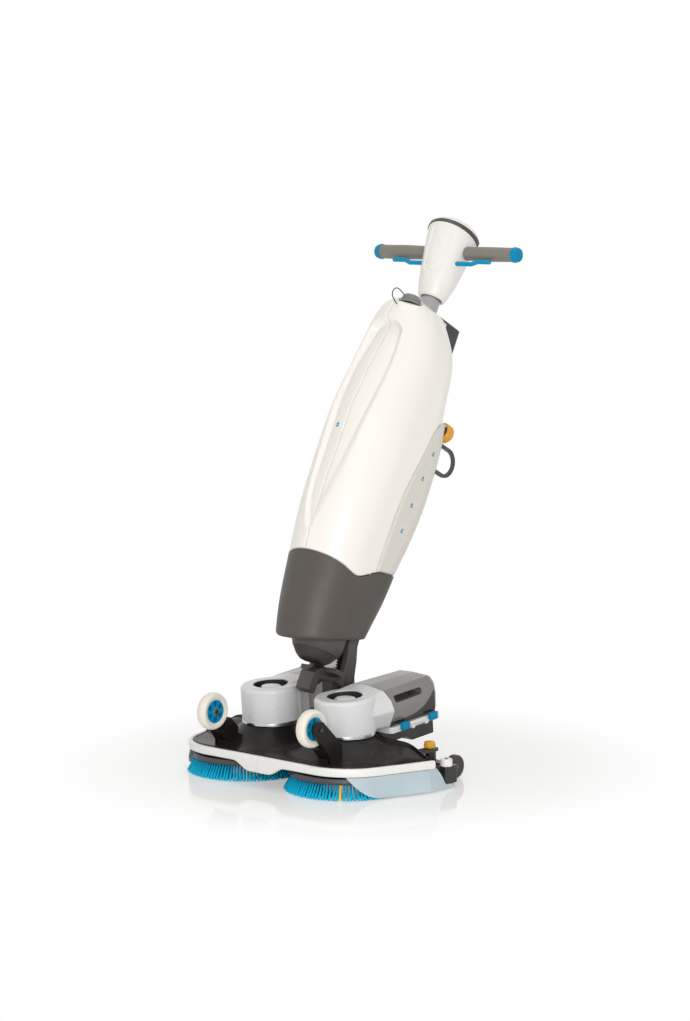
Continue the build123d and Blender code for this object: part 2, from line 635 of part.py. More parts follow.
def yoke():
    arm = rod_x(2.5 * PIN_R, ARM_X, ARM_X + YOKE_T, 0, 0)
    arm += side_plate([(-19.5, -4), (-24, 40), (-34, 70), (-34, 110), (-6, 110), (-4, 75), (8, 45), (19.5, 4)],
                      ARM_X, ARM_X + YOKE_T)
    arm = arm & below_cup()
    arm -= rod_x(PIN_R + FIT, ARM_X - 1, ARM_X + YOKE_T + 1, 0, 0)
    arms = arm + mirror(arm, about=Plane.YZ)
    lock = side_plate([(-54, -55), (-75, -50), (-75, -12), (-66, -2), (-46, 10), (-28, 10), (-28, 0), (-44, -8),
                       (-54, -22)], -19, 19)
    lock = fillet(lock.edges().filter_by(Axis.X).group_by(Axis.Z)[0], 4)
    x = ARM_X + YOKE_T
    return lean(arms + lock + block(-x, x, -46, -19, 0, 10) - rod_x(PIN_R + 12, 1 - ARM_X, ARM_X - 1, 0, 0))


def section(w, a, front, rear, corner):
    """One level of the body: round front, flat sides, rounded rear corners."""
    s = rear - corner
    k = corner * (1 - sqrt(0.5))
    edge = ThreePointArc((a, front + a), (0, front), (-a, front + a))
    edge += Line((-a, front + a), (-a, s))
    edge += ThreePointArc((-a, s), (k - a, rear - k), (corner - a, rear))
    edge += Line((corner - a, rear), (a - corner, rear))
    edge += ThreePointArc((a - corner, rear), (a - k, rear - k), (a, s))
    edge += Line((a, s), (a, front + a))
    return Pos(0, 0, w) * make_face(edge)


def column(inset, dent=0.0):
    """The body's whole outer form, moved in by inset all round and by dent at the front."""
    levels = []
    for w, a, front, rear, corner in STATIONS:
        drop = inset * min(1, max(0, (w - 700) / 100))
        d = inset + min(dent, a * 0.3)
        levels.append(section(w - drop, a - d, front + d, rear - inset, max(corner - d, 1)))
    return loft(levels)


def below_joint(lift):
    """Everything under the waved joint between lower housing and tanks."""
    top = Spline(*[(0, v, w + lift) for v, w in JOINT])
    low = Polyline(top @ 1, (0, JOINT[-1][0], -200), (0, JOINT[0][0], -200), top @ 0)
    return Pos(-200, 0, 0) * extrude(make_face(top + low), amount=400, dir=(1, 0, 0))


def behind_split(move):
    """Everything behind and below the rear tank's split; move shifts the split forwards and up."""
    (v1, w1), (v0, w0) = SPLIT_TOP, SPLIT_LOW
    slope = (v1 - v0) / (w1 - w0)
    return side_plate([(v1 - move, w1 + move), (200, w1 + move), (200, 100), (v0 - move - slope * (w0 - 100), 100)],
                      -200, 200)


def recess_prism(grow):
    """Teardrop outline of the front recess, run back from the front."""
    side = [(x + grow, w) for x, w in RECESS]
    right = Spline(*[(x, -300, w) for x, w in side])
    left = Spline(*[(-x, -300, w) for x, w in side])
    top = ThreePointArc(left @ 0, (0, -300, RECESS_TOP + grow), right @ 0)
    low = ThreePointArc(left @ 1, (0, -300, RECESS_LOW - grow), right @ 1)
    return extrude(make_face(top + right + low + left), amount=200, dir=(0, 1, 0))


def pipe(r):
    return rod_z(r, -100, 1000, 0, AXIS_V)


def tank(outer, inner):
    """Left tank shell: half of the body above the waved joint, in front of the rear tank."""
    big = block(GAP / 2, 300, -400, 300, -100, 1000)
    small = block(GAP / 2 + WALL, 300, -400, 300, -100, 1000)
    form = (outer & big) - below_joint(GAP) - behind_split(GAP) - pipe(TUBE_R + GAP)
    room = (inner & small) - below_joint(GAP + WALL) - behind_split(GAP + WALL) - pipe(TUBE_R + GAP + WALL)
    return form, room


def tanks():
    outer = column(0) - (recess_prism(0) - column(0, RECESS_D))
    inner = column(WALL) - (recess_prism(WALL) - column(WALL, RECESS_D))
    form, room = tank(outer, inner)
    plain = form - room
    seat = rod_z(CAP_R + 4.5, CAP_W - 3, CAP_W + 100, CAP_X, CAP_V)
    filler = form - seat
    filler -= room - rod_z(CAP_R + 4.5 + WALL, CAP_W - 3 - WALL, CAP_W + 100, CAP_X, CAP_V)
    neck = CAP_R - 5.5
    filler += rod_z(neck, CAP_W - 5, CAP_W + 11, CAP_X, CAP_V)
    filler -= rod_z(neck - 4, CAP_W - 10, CAP_W + 12, CAP_X, CAP_V)
    return lean(filler), lean(mirror(plain, about=Plane.YZ)), outer


def filler_cap():
    neck = CAP_R - 5.5
    z = CAP_W
    cap = turned((neck + 0.4, z), (CAP_R, z), (CAP_R, z + 12), (CAP_R - 2, z + 16), (CAP_R - 8, z + 19), (0, z + 20),
                 (0, z + 11.4), (neck + 0.4, z + 11.4))
    return lean(Pos(CAP_X, CAP_V, 0) * cap)


def rear_form(inset):
    levels = []
    for w, a, rear in REAR_STATIONS:
        x, y, r = a - inset, rear - inset, REAR_CORNER - inset
        k = r * (1 - sqrt(0.5))
        edge = Line((-x, -130), (-x, y - r)) + ThreePointArc((-x, y - r), (k - x, y - k), (r - x, y))
        edge += Line((r - x, y), (x - r, y)) + ThreePointArc((x - r, y), (x - k, y - k), (x, y - r))
        edge += Line((x, y - r), (x, -130)) + Line((x, -130), (-x, -130))
        levels.append(Pos(0, 0, w) * make_face(edge))
    return loft(levels)


def rear_tank():
    form = (rear_form(0) & behind_split(0)) - below_joint(GAP) - pipe(TUBE_R + GAP)
    room = (rear_form(WALL) & behind_split(-WALL)) - below_joint(GAP + WALL) - pipe(TUBE_R + GAP + WALL)
    neck = PLUG_R - 9
    shell = form - room
    shell += rod_y(neck, 24, 44, PLUG_X, PLUG_W) - (room & rod_y(neck, 0, 60, PLUG_X, PLUG_W))
    shell -= rod_y(neck - 3, 10, 45, PLUG_X, PLUG_W)
    return lean(shell), form


def drain_plug():
    neck = PLUG_R - 9
    form = turned((neck + 0.4, 0), (PLUG_R - 3, 0), (PLUG_R, 4), (PLUG_R, 20), (PLUG_R - 4, 25), (0, 26), (0, 8.4),
                  (neck + 0.4, 8.4))
    for k in range(10):
        form -= Rot(0, 0, 36 * k) * rod_z(2.4, -1, 27, PLUG_R + 1.2, 0)
    return lean(Pos(PLUG_X, 36, PLUG_W) * Rot(-90, 0, 0) * form)


def plug_strap(rear):
    """Perforated strap, a U standing out from the rear tank."""
    v0 = 70
    x0 = PLUG_X - 1
    t = 4.0
    outer = rod_x(STRAP_R + t, x0, x0 + 6, v0, STRAP_W)
    outer += block(x0, x0 + 6, 20, v0, STRAP_W - STRAP_R - t, STRAP_W + STRAP_R + t)
    inner = rod_x(STRAP_R - t, x0 - 1, x0 + 7, v0, STRAP_W)
    inner += block(x0 - 1, x0 + 7, 10, v0, STRAP_W - STRAP_R + t, STRAP_W + STRAP_R - t)
    band = outer - inner
    for k in range(13):
        a = radians(-90 + 15 * k)
        band -= rod_x(2, x0 - 1, x0 + 7, v0 + STRAP_R * cos(a), STRAP_W + STRAP_R * sin(a))
    return lean(band - rear)


def lower_housing():
    outer = column(0) & below_joint(0)
    room = column(SHELL) - below_cup(SHELL + 1)
    cup = outer - below_cup() - room
    shelf_w = TUBE_W0 - 4
    cup += (column(SHELL / 2) & block(-200, 200, -300, 200, shelf_w - 4, shelf_w))
    cup += rod_z(TUBE_R + 5, shelf_w - 12, TUBE_W0 + 24, 0, AXIS_V)
    cup -= rod_z(TUBE_R, TUBE_W0, TUBE_W0 + 40, 0, AXIS_V)
    cup += (rod_z(DRUM_R, DRUM_W, 140, 0, AXIS_V) & below_cup(1)) - rod_z(DRUM_R - SHELL, 0, 160, 0, AXIS_V)
    cup -= rod_z(DRUM_R - SHELL, 0, 110, 0, AXIS_V) & below_cup(SHELL + 2)
    cup = lean(cup)
    length = hypot(HOSE_TOP[0] - HOSE_MID[0], HOSE_TOP[1] - HOSE_MID[1])
    port = hose_frame(HOSE_MID, HOSE_TOP, rod_z(HOSE_R + 3, length, length + 34, 0, 0))
    bore = hose_frame(HOSE_MID, HOSE_TOP, rod_z(HOSE_BORE, length - 1, length + 40, 0, 0))
    return cup + port - bore


def vacuum_motor():
    r = DRUM_R - SHELL - 8
    form = turned((0, GRILLE_W + 9), (r - 12, GRILLE_W + 9), (r - 8, DRUM_W), (r, DRUM_W + 6), (r, 132), (r - 8, 140),
                  (r - 20, TUBE_W0 - 16), (0, TUBE_W0 - 16))
    return lean(Pos(0, AXIS_V, 0) * form)


def vacuum_grille():
    r = DRUM_R + 2
    w0 = GRILLE_W
    w1 = DRUM_W
    cup = turned((r - 14, w0 + 4), (r - 6, w0 + 2), (r - 2, w0 + 8), (r - 2, w1), (r - 6, w1), (r - 6, w0 + 9),
                 (0, w0 + 9), (0, w0 + 4))
    hull = turned((r - 18, w0), (r - 6, w0), (r, w0 + 8), (r, w1), (r - 4, w1), (r - 4, w0 + 10), (r - 18, w0 + 5))
    one = block(r - 20, r + 5, -1.3, 1.3, w0 - 1, w1 + 1) & hull
    cup += [Rot(0, 0, 360 * k / GRILLE_RIBS) * one for k in range(GRILLE_RIBS)]
    return lean(Pos(0, AXIS_V, 0) * cup)


def column_tube():
    return lean(rod_z(TUBE_R, TUBE_W0, TUBE_W1, 0, AXIS_V) - rod_z(TUBE_R - 2, TUBE_W0 - 1, TUBE_W1 + 1, 0, AXIS_V))


def junction_box(outer):
    box = block(-25, 25, AXIS_V + 8, 27, 770, 836)
    box = fillet(box.edges().group_by(Axis.Y)[-1], 6)
    return lean(box - outer - pipe(TUBE_R))


# The tether is a thin cord from the filler cap's side to the front of the left tank
TETHER_R = 1.2
TETHER = [(16.0, -178.1, 822.0), (15.0, -196.0, 827.0), (14.0, -208.5, 823.0), (13.0, -212.5, 811.0),
          (12.0, -204.0, 801.0), (11.0, -184.2, 796.0)]


def cap_tether():
    points = [Vector(*p) for p in TETHER]
    radii = []
    for a, b, c in zip(points, points[1:], points[2:]):
        half = radians((b - a).get_angle(c - b)) / 2
        radii.append(0.45 * min((b - a).length, (c - b).length) / tan(half))
    print("tether radii", [round(r, 1) for r in radii])
    path = FilletPolyline(*points, radius=radii)
    start = Plane(origin=path @ 0, z_dir=path % 0)
    return lean(sweep(start * Circle(TETHER_R), path=path))


# Head

def head_frame(part):
    """From the tilted ring's frame to the body's."""
    return Pos(0, AXIS_V, RING_W) * Rot(-RING_TILT, 0, 0) * part


HEAD_PROFILE = [(32, 866), (41, 900), (47, 940), (56, 1000), (61, 1050)]


def head_shell():
    skin = Spline(*[(r, 0, w) for r, w in HEAD_PROFILE])
    rim = HEAD_PROFILE[-1][1]
    form = revolve(make_face(skin + Polyline(skin @ 1, (0, 0, rim), (0, 0, 858), (26, 0, 858), skin @ 0)), axis=Axis.Z)
    cave = Spline(*[(r - WALL, 0, w) for r, w in HEAD_PROFILE[1:]])
    low = HEAD_PROFILE[1][1]
    room = revolve(make_face(cave + Polyline(cave @ 1, (0, 0, rim), (0, 0, low), cave @ 0)), axis=Axis.Z)
    form = Pos(0, AXIS_V, 0) * form
    room = Pos(0, AXIS_V, 0) * (room + rod_z(RING_R, rim - 1, rim + 50, 0, 0))
    shell = form - room
    for s in (1, -1):
        pin = rod_y(LEVER_R / 2, AXIS_V - 60, LEVER_V + 14, s * LEVER_PIVOT_X, LEVER_W)
        shell += pin & form
        shell -= rod_x(LEVER_R + 1.8, s * 60 - 20, s * 60 + 20, LEVER_V, LEVER_W) - rod_y(LEVER_R, -200, 0,
                                                                                      s * LEVER_PIVOT_X, LEVER_W)
    shell -= rod_x(BAR_R, -100, 100, BAR_V, BAR_W)
    shell -= pipe(TUBE_R) & block(-50, 50, -200, 100, 800, TUBE_W1)
    shell -= head_frame(block(-120, 120, -120, 120, 0, 200))
    return lean(shell)


def head_gasket():
    ring = turned((RING_R - 10, 0), (RING_R - 1, 0), (RING_R, 1.5), (RING_R, 3.5), (RING_R - 1, 5), (RING_R - 10, 5))
    return lean(head_frame(ring))


BUTTON_Y = 20.0
BUTTON_R = 8.0


def head_cap():
    r = RING_R - 1.5
    h = DOME_H
    outer = Spline((r, 0, 9), (r - 9, 0, 5 + h * 0.66), (r - 30, 0, 5 + h * 0.94), (0, 0, 5 + h))
    inner = Spline((r - 3, 0, 9), (r - 12, 0, 2 + h * 0.66), (r - 32, 0, 2 + h * 0.94), (0, 0, 2 + h))
    form = revolve(make_face(outer + Polyline(outer @ 1, (0, 0, 5), (r, 0, 5), outer @ 0)), axis=Axis.Z)
    form -= revolve(make_face(inner + Polyline(inner @ 1, (0, 0, 4), (r - 3, 0, 4), inner @ 0)), axis=Axis.Z)
    form += rod_z(BUTTON_R + 4, 8, 5 + h * 0.86, 0, BUTTON_Y)
    form -= rod_z(BUTTON_R + 0.4, 10, 60, 0, BUTTON_Y)
    return lean(head_frame(form))


def button_power():
    top = 5 + DOME_H + 0.5
    form = rod_z(BUTTON_R, 14, top, 0, BUTTON_Y)
    return lean(head_frame(fillet(form.edges().group_by(Axis.Z)[-1], 1.5)))


def handlebar():
    return lean(rod_x(BAR_R, 4 - BAR_END, BAR_END - 4, BAR_V, BAR_W) - rod_x(BAR_R - 2, -BAR_END, BAR_END, BAR_V, BAR_W))


def grips():
    x0, x1 = GRIP_X0, GRIP_X1
    skin = Spline((GRIP_R - 0.5, 0, x0 + 2), (GRIP_R + 0.6, 0, (x0 + x1) / 2), (GRIP_R, 0, x1))
    form = make_face(skin + Polyline(skin @ 1, (BAR_R, 0, x1), (BAR_R, 0, x0), (GRIP_R - 2, 0, x0), skin @ 0))
    return both(lean(Pos(0, BAR_V, BAR_W) * Rot(0, 90, 0) * revolve(form, axis=Axis.Z)))


def end_caps():
    x0, x1 = GRIP_X1, BAR_END
    r = GRIP_R + 1
    form = turned((BAR_R, x0), (r, x0), (r + 0.8, x0 + 6), (r - 0.5, x1 - 7), (r - 4, x1 - 1), (r - 8, x1), (0, x1),
                  (0, x1 - 4), (BAR_R, x1 - 4))
    return both(lean(Pos(0, BAR_V, BAR_W) * Rot(0, 90, 0) * form))


def lever():
    w1 = LEVER_W + 6
    bend = (LEVER_PIVOT_X + LEVER_END_X) / 2 + 10
    path = FilletPolyline((LEVER_PIVOT_X, LEVER_V, LEVER_W), (bend - 8, LEVER_V, LEVER_W), (bend + 8, LEVER_V, w1),
                          (LEVER_END_X, LEVER_V, w1), radius=8)
    rod = sweep(Plane(origin=path @ 0, z_dir=path % 0) * Circle(LEVER_R), path=path)
    rod += Pos(LEVER_END_X, LEVER_V, w1) * Sphere(LEVER_R)
    rod += rod_y(LEVER_R + 1.5, LEVER_V - 6, LEVER_V + 6, LEVER_PIVOT_X, LEVER_W)
    return lean(rod - rod_y(LEVER_R / 2 + FIT, LEVER_V - 20, LEVER_V + 20, LEVER_PIVOT_X, LEVER_W))


# All pieces by name

def mirrored(part):
    return mirror(part, about=Plane.YZ)


NODES = {}


def pair(name, part):
    NODES[name + "_left"] = part
    NODES[name + "_right"] = mirrored(part)


NODES["deck_shell"] = deck_shell()
NODES["bumper_halves"] = bumper_halves()
NODES["side_skirts"] = side_skirts()
NODES["motor_housings"] = motor_housings()
NODES["motors"] = motors()
NODES["motor_flanges"] = motor_flanges()
NODES["battery_bases"] = battery_bases()
NODES["battery_trays"] = battery_trays()
NODES["pivot_bracket"] = pivot_bracket()
NODES["axles"] = axles()
NODES["squeegee_carrier"] = squeegee_carrier()
NODES["squeegee_blades"] = squeegee_blades()
NODES["transport_arms"] = transport_arms()
NODES["suction_hose_lower"] = hose(HOSE_MID, HOSE_LOW, COLLAR)
pair("battery", battery())
pair("latches", latches())
pair("squeegee_knob", squeegee_knob())
pair("corner_roller", corner_roller())
pair("rear_wheel", rear_wheel())
pair("transport_tyre", transport_tyre())
pair("transport_hub", transport_hub())
pair("brush_hub", brush_hub())
pair("brush_disc", brush_disc())
pair("bristles", bristles())
pair("pinion", pinion())
NODES["pivot_cross"] = pivot_cross()
NODES["yoke"] = yoke()
NODES["lower_housing"] = lower_housing()
NODES["vacuum_motor"] = vacuum_motor()
NODES["vacuum_grille"] = vacuum_grille()
NODES["suction_hose_upper"] = hose(HOSE_MID, HOSE_TOP, COLLAR)
NODES["column_tube"] = column_tube()
NODES["tank_left"], NODES["tank_right"], BODY_FORM = tanks()
NODES["rear_tank"], REAR_FORM = rear_tank()
NODES["filler_cap"] = filler_cap()
NODES["cap_tether"] = cap_tether()
NODES["junction_box"] = junction_box(BODY_FORM)
NODES["drain_plug"] = drain_plug()
NODES["plug_strap"] = plug_strap(REAR_FORM)
NODES["head_shell"] = head_shell()
NODES["head_gasket"] = head_gasket()
NODES["head_cap"] = head_cap()
NODES["button_power"] = button_power()
NODES["handlebar"] = handlebar()
NODES["grips"] = grips()
NODES["end_caps"] = end_caps()
pair("lever", lever())

# The middle of the footprint, measured on the meshed surfaces, becomes the origin
points = [tuple(p) for part in NODES.values() for p in part.tessellate(0.1)[0]]
low, high = [min(c) for c in zip(*points)], [max(c) for c in zip(*points)]
MOVE = Pos(-(low[0] + high[0]) / 2, -(low[1] + high[1]) / 2, -low[2])
os.makedirs("parts", exist_ok=True)
for name, part in NODES.items():
    export_step(MOVE * part, f"parts/{name}.step")
print("size", [round(h - l, 2) for l, h in zip(low, high)], "moved", [round(c, 4) for c in MOVE.position])
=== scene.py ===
from math import atan2, cos, hypot, pi, radians, sin, sqrt, tan

import bpy
import numpy as np
from mathutils import Matrix, Vector


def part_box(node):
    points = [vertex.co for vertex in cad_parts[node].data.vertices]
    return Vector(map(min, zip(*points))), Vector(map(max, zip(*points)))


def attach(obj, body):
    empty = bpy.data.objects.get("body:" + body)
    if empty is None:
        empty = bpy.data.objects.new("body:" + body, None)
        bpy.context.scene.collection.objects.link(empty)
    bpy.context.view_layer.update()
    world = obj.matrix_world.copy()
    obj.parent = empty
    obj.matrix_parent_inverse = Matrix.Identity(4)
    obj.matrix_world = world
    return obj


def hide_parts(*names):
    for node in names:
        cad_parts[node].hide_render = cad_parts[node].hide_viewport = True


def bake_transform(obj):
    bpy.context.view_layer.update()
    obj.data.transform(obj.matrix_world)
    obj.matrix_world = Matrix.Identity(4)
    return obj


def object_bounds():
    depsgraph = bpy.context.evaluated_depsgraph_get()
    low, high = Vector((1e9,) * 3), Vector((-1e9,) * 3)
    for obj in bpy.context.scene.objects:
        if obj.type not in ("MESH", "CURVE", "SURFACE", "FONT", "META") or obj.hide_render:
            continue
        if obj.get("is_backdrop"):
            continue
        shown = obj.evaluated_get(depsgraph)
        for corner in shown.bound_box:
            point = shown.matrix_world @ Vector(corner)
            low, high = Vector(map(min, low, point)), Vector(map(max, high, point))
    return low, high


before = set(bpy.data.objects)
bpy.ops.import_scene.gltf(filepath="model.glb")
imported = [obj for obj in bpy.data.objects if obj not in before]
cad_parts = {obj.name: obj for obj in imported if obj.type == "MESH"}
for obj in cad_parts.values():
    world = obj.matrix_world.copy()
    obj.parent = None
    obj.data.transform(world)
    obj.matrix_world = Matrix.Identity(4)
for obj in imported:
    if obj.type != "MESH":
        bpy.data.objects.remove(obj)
cad_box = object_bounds()
MM = 0.001

# Studio: a wide sheet of white board that holds a soft shadow and a faint reflection, and runs out into a
# white room. A big soft lamp stands at the front, one hangs overhead and a weak one fills the far side.
BOARD_FADE, BOARD_GLOW = (0.36, 0.74), 0.38
ROOM_LEVEL, ROOM_WARMTH = 0.61, (1, 0.97, 0.925, 1)
LAMP_AIM = Vector((0, 0, 0.55))
MIX_A, MIX_B, MIX_OUT = 6, 7, 2
LAMPS = (("key_lamp", (2.4, -2.5, 1.0), 2.0, 58), ("top_lamp", (0.0, 0.3, 3.2), 2.2, 15),
         ("fill_lamp", (-1.6, -2.6, 1.6), 1.6, 4))
scene = bpy.context.scene
scene.view_settings.view_transform = "Standard"
bpy.ops.object.select_all(action="DESELECT")
bpy.ops.mesh.primitive_plane_add(size=60)
board = bpy.context.object
board.name = "white_board"
board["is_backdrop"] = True


def node(tree, kind, inputs=None, **settings):
    """A shader node with its settings and the values of its inputs."""
    made = tree.nodes.new("ShaderNode" + kind)
    for name, value in settings.items():
        setattr(made, name, value)
    for socket, value in (inputs or {}).items():
        made.inputs[socket].default_value = value
    return made


def wire(tree, *links):
    """Link nodes, each link as (node, output, node, input)."""
    for source, output, target, entry in links:
        tree.links.new(source.outputs[output], target.inputs[entry])


def rays_seen(tree):
    """1 for rays that the camera, a gloss or a clear plastic sends out, 0 for rays that carry light."""
    path = node(tree, "LightPath")
    total = path, "Is Camera Ray"
    for kind in ("Is Glossy Ray", "Is Transmission Ray"):
        add = node(tree, "Math", use_clamp=True)
        wire(tree, (*total, add, 0), (path, kind, add, 1))
        total = add, 0
    return total


paper = bpy.data.materials.new("white_board")
paper.use_nodes = True
tree = paper.node_tree
face = tree.nodes["Principled BSDF"]
for socket, value in (("Base Color", (0.93, 0.93, 0.93, 1)), ("Roughness", 0.07), ("Specular IOR Level", 0.8)):
    face.inputs[socket].default_value = value
far_white, where, blend = [node(tree, kind) for kind in ("Emission", "TexCoord", "MixShader")]
reach = node(tree, "VectorMath", operation="LENGTH")
fade = node(tree, "MapRange", {"From Min": BOARD_FADE[0], "From Max": BOARD_FADE[1], "To Min": BOARD_GLOW},
            interpolation_type="SMOOTHSTEP")
mask = node(tree, "Math", operation="MULTIPLY")
wire(tree, (where, "Object", reach, 0), (reach, "Value", fade, "Value"), (*rays_seen(tree), mask, 0),
     (fade, "Result", mask, 1), (mask, 0, blend, 0), (face, 0, blend, 1), (far_white, 0, blend, 2),
     (blend, 0, tree.nodes["Material Output"], "Surface"))
board.data.materials.append(paper)

room = bpy.data.worlds.new("white_room")
scene.world = room
room.use_nodes = True
tree = room.node_tree
sky = tree.nodes["Background"]
level = node(tree, "MapRange", {"To Min": ROOM_LEVEL, "To Max": 1.0})
warmth = node(tree, "Mix", {MIX_A: ROOM_WARMTH, MIX_B: (1, 1, 1, 1)}, data_type="RGBA")
wire(tree, (*rays_seen(tree), level, "Value"), (level, "Result", sky, "Strength"),
     (*rays_seen(tree), warmth, "Factor"), (warmth, MIX_OUT, sky, "Color"))

for name, spot, size, power in LAMPS:
    bpy.ops.object.light_add(type="AREA", location=spot)
    lamp = bpy.context.object
    lamp.name = name
    lamp.data.shape = "DISK"
    lamp.data.size = size
    lamp.data.energy = power
    lamp.rotation_euler = (LAMP_AIM - Vector(spot)).to_track_quat("-Z", "Y").to_euler()

# Camera: it stands in front of the scrubber's left, a little above the handlebar. Both brush axes stand on
# one line across the scrubber, and sizes in this file are in mm from the floor point midway between them.
BRUSH_LINE = sum(corner.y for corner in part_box("bristles_left")) / 2


def at(x, y, z):
    return Vector((x * MM, y * MM + BRUSH_LINE, z * MM))


camera = bpy.data.objects.new("camera", bpy.data.cameras.new("camera"))
scene.collection.objects.link(camera)
scene.camera = camera
camera.location = at(3943.62, -4324.82, 1291.52)
camera.rotation_euler = (radians(82.983), 0, radians(41.342))
camera.data.lens = 99.33
camera.data.clip_end = 200

# Cap tether: a thin black cord that leaves the side of the filler cap, hangs out in a small loop and goes
# back into the front of the left tank, so that the loose cap can't be lost. The body's own frame is (x, v, w),
# with v to the rear and w up along the leaning body from the joint's axis.
LEAN = radians(27.5)
BODY = Matrix.Translation(at(0, 110, 201)) @ Matrix.Rotation(-LEAN, 4, "X")


def in_body(x, v, w):
    """A place in the body's own frame."""
    return BODY @ Matrix.Translation((x * MM, v * MM, w * MM))


moulding = bpy.data.node_groups.new("moulding_grain", "ShaderNodeTree")
for way, titles in (("INPUT", ("Colour", "Shade", "Scale", "Smooth", "Dull")),
                    ("OUTPUT", ("Colour", "Roughness", "Height"))):
    for title in titles:
        kind = "NodeSocketColor" if title in ("Colour", "Shade") else "NodeSocketFloat"
        moulding.interface.new_socket(title, in_out=way, socket_type=kind)
into, out = [moulding.nodes.new("NodeGroup" + end) for end in ("Input", "Output")]
where = node(moulding, "TexCoord")
cloud = node(moulding, "TexNoise", {"Scale": 14, "Detail": 4})
pores = node(moulding, "TexNoise", {"Detail": 3})
tone = node(moulding, "Mix", data_type="RGBA")
gloss = node(moulding, "MapRange", {"From Min": 0.35, "From Max": 0.65})
wire(moulding, (where, "Object", cloud, "Vector"), (where, "Object", pores, "Vector"),
     (into, "Scale", pores, "Scale"), (cloud, "Fac", tone, "Factor"), (into, "Colour", tone, MIX_A),
     (into, "Shade", tone, MIX_B), (cloud, "Fac", gloss, "Value"), (into, "Smooth", gloss, "To Min"),
     (into, "Dull", gloss, "To Max"), (tone, MIX_OUT, out, "Colour"), (gloss, "Result", out, "Roughness"),
     (pores, "Fac", out, "Height"))


def finish(name, colour, smooth, dull, shade=0.88, scale=900.0, relief=0.00003, **more):
    """A moulded, cast or turned surface: two close tones, uneven gloss and a fine grain."""
    material = bpy.data.materials.new(name)
    material.use_nodes = True
    tree = material.node_tree
    shader = tree.nodes["Principled BSDF"]
    tones = {"Colour": (*colour, 1), "Shade": (*[c * shade for c in colour], 1)}
    grain = node(tree, "Group", {**tones, "Scale": scale, "Smooth": smooth, "Dull": dull}, node_tree=moulding)
    bump = node(tree, "Bump", {"Strength": 0.35, "Distance": relief})
    wire(tree, (grain, "Colour", shader, "Base Color"), (grain, "Roughness", shader, "Roughness"),
         (grain, "Height", bump, "Height"), (bump, "Normal", shader, "Normal"))
    for socket, value in more.items():
        shader.inputs[socket.replace("_", " ")].default_value = value
    return material


TETHER = [(16.0, -178.1, 822.0), (15.0, -196.0, 827.0), (14.0, -208.5, 823.0), (13.0, -212.5, 811.0),
          (12.0, -204.0, 801.0), (11.0, -184.2, 796.0)]
TETHER_R = 1.2
line = bpy.data.curves.new("tether_line", "CURVE")
line.dimensions = "3D"
line.bevel_depth = TETHER_R * MM
line.bevel_resolution = 3
line.use_fill_caps = True
run = line.splines.new("NURBS")
run.points.add(len(TETHER) - 1)
for point, (x, v, w) in zip(run.points, TETHER):
    point.co = (*(BODY @ Vector((x * MM, v * MM, w * MM))), 1)
run.order_u = 3
run.use_endpoint_u = True
tether = bpy.data.objects.new("tether_line", line)
scene.collection.objects.link(tether)
line.materials.append(finish("tether_black", (0.012, 0.012, 0.012), 0.4, 0.55))
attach(tether, "column")
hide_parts("cap_tether")


# Brush discs: two round plates moulded in dark grey, each with a toothed nylon hub above it that a steel
# pinion on the motor's shaft drives.
def dress(material, *names):
    """Put a material on solids whose own shape stays."""
    for name in names:
        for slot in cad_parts[name].material_slots:
            slot.material = material


def settle(piece, body, slot, material, *solids):
    """Give a finished piece its material, the body it moves with and the solids it stands for."""
    piece.data.materials.clear()
    piece.data.materials.append(material)
    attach(piece, body)
    if solids:
        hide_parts(*solids)


def chosen(*pieces):
    """Select these pieces alone, with the first one active."""
    bpy.ops.object.select_all(action="DESELECT")
    bpy.context.view_layer.objects.active = pieces[0]
    for piece in pieces:
        piece.select_set(True)


def edited(piece, *steps):
    """Run mesh steps on the whole of a piece."""
    chosen(piece)
    bpy.ops.object.mode_set(mode="EDIT")
    bpy.ops.mesh.select_all(action="SELECT")
    for step, values in steps:
        step(**values)
    bpy.ops.object.mode_set(mode="OBJECT")
    return piece


def altered(piece, kind, **values):
    """Give a piece a modifier and apply it."""
    chosen(piece)
    change = piece.modifiers.new(kind, kind)
    for name, value in values.items():
        setattr(change, name, value)
    bpy.ops.object.modifier_apply(modifier=kind)
    return piece


def polish(piece, edge=0.0, angle=35.0, steps=2):
    """Break the sharp edges by edge mm and smooth the curves."""
    if edge:
        altered(piece, "BEVEL", width=edge * MM, segments=steps, angle_limit=radians(angle))
    chosen(piece)
    bpy.ops.object.shade_smooth_by_angle(angle=radians(angle))
    if edge:
        altered(piece, "WEIGHTED_NORMAL", keep_sharp=True)
    return piece


def eased(solid, edge=0.0, angle=35.0):
    """A copy of a solid with its triangles joined, its edges broken and its curves smoothed."""
    piece = bpy.data.objects.new(solid + "_form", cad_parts[solid].data.copy())
    scene.collection.objects.link(piece)
    chosen(piece)
    bpy.ops.mesh.customdata_custom_splitnormals_clear()
    edited(piece, (bpy.ops.mesh.remove_doubles, {"threshold": 0.00001}),
           (bpy.ops.mesh.dissolve_limited, {"angle_limit": radians(0.4)}))
    return polish(piece, edge, angle)


def refine(solid, body, slot, material, edge=0.0, angle=35.0):
    """Show a solid by its eased copy."""
    settle(eased(solid, edge, angle), body, slot, material, solid)


SIDES = ((1, "left"), (-1, "right"))
disc_grey = finish("disc_grey", (0.05, 0.05, 0.055), 0.42, 0.55)
hub_nylon = finish("hub_nylon", (0.62, 0.6, 0.54), 0.35, 0.45)
pinion_steel = finish("pinion_steel", (0.55, 0.55, 0.56), 0.25, 0.4, Metallic=1.0)
for side, hand in SIDES:
    refine("brush_disc_" + hand, "brush_" + hand, "brush_grey", disc_grey, 0.8)
    dress(hub_nylon, "brush_hub_" + hand)
    dress(pinion_steel, "pinion_" + hand)

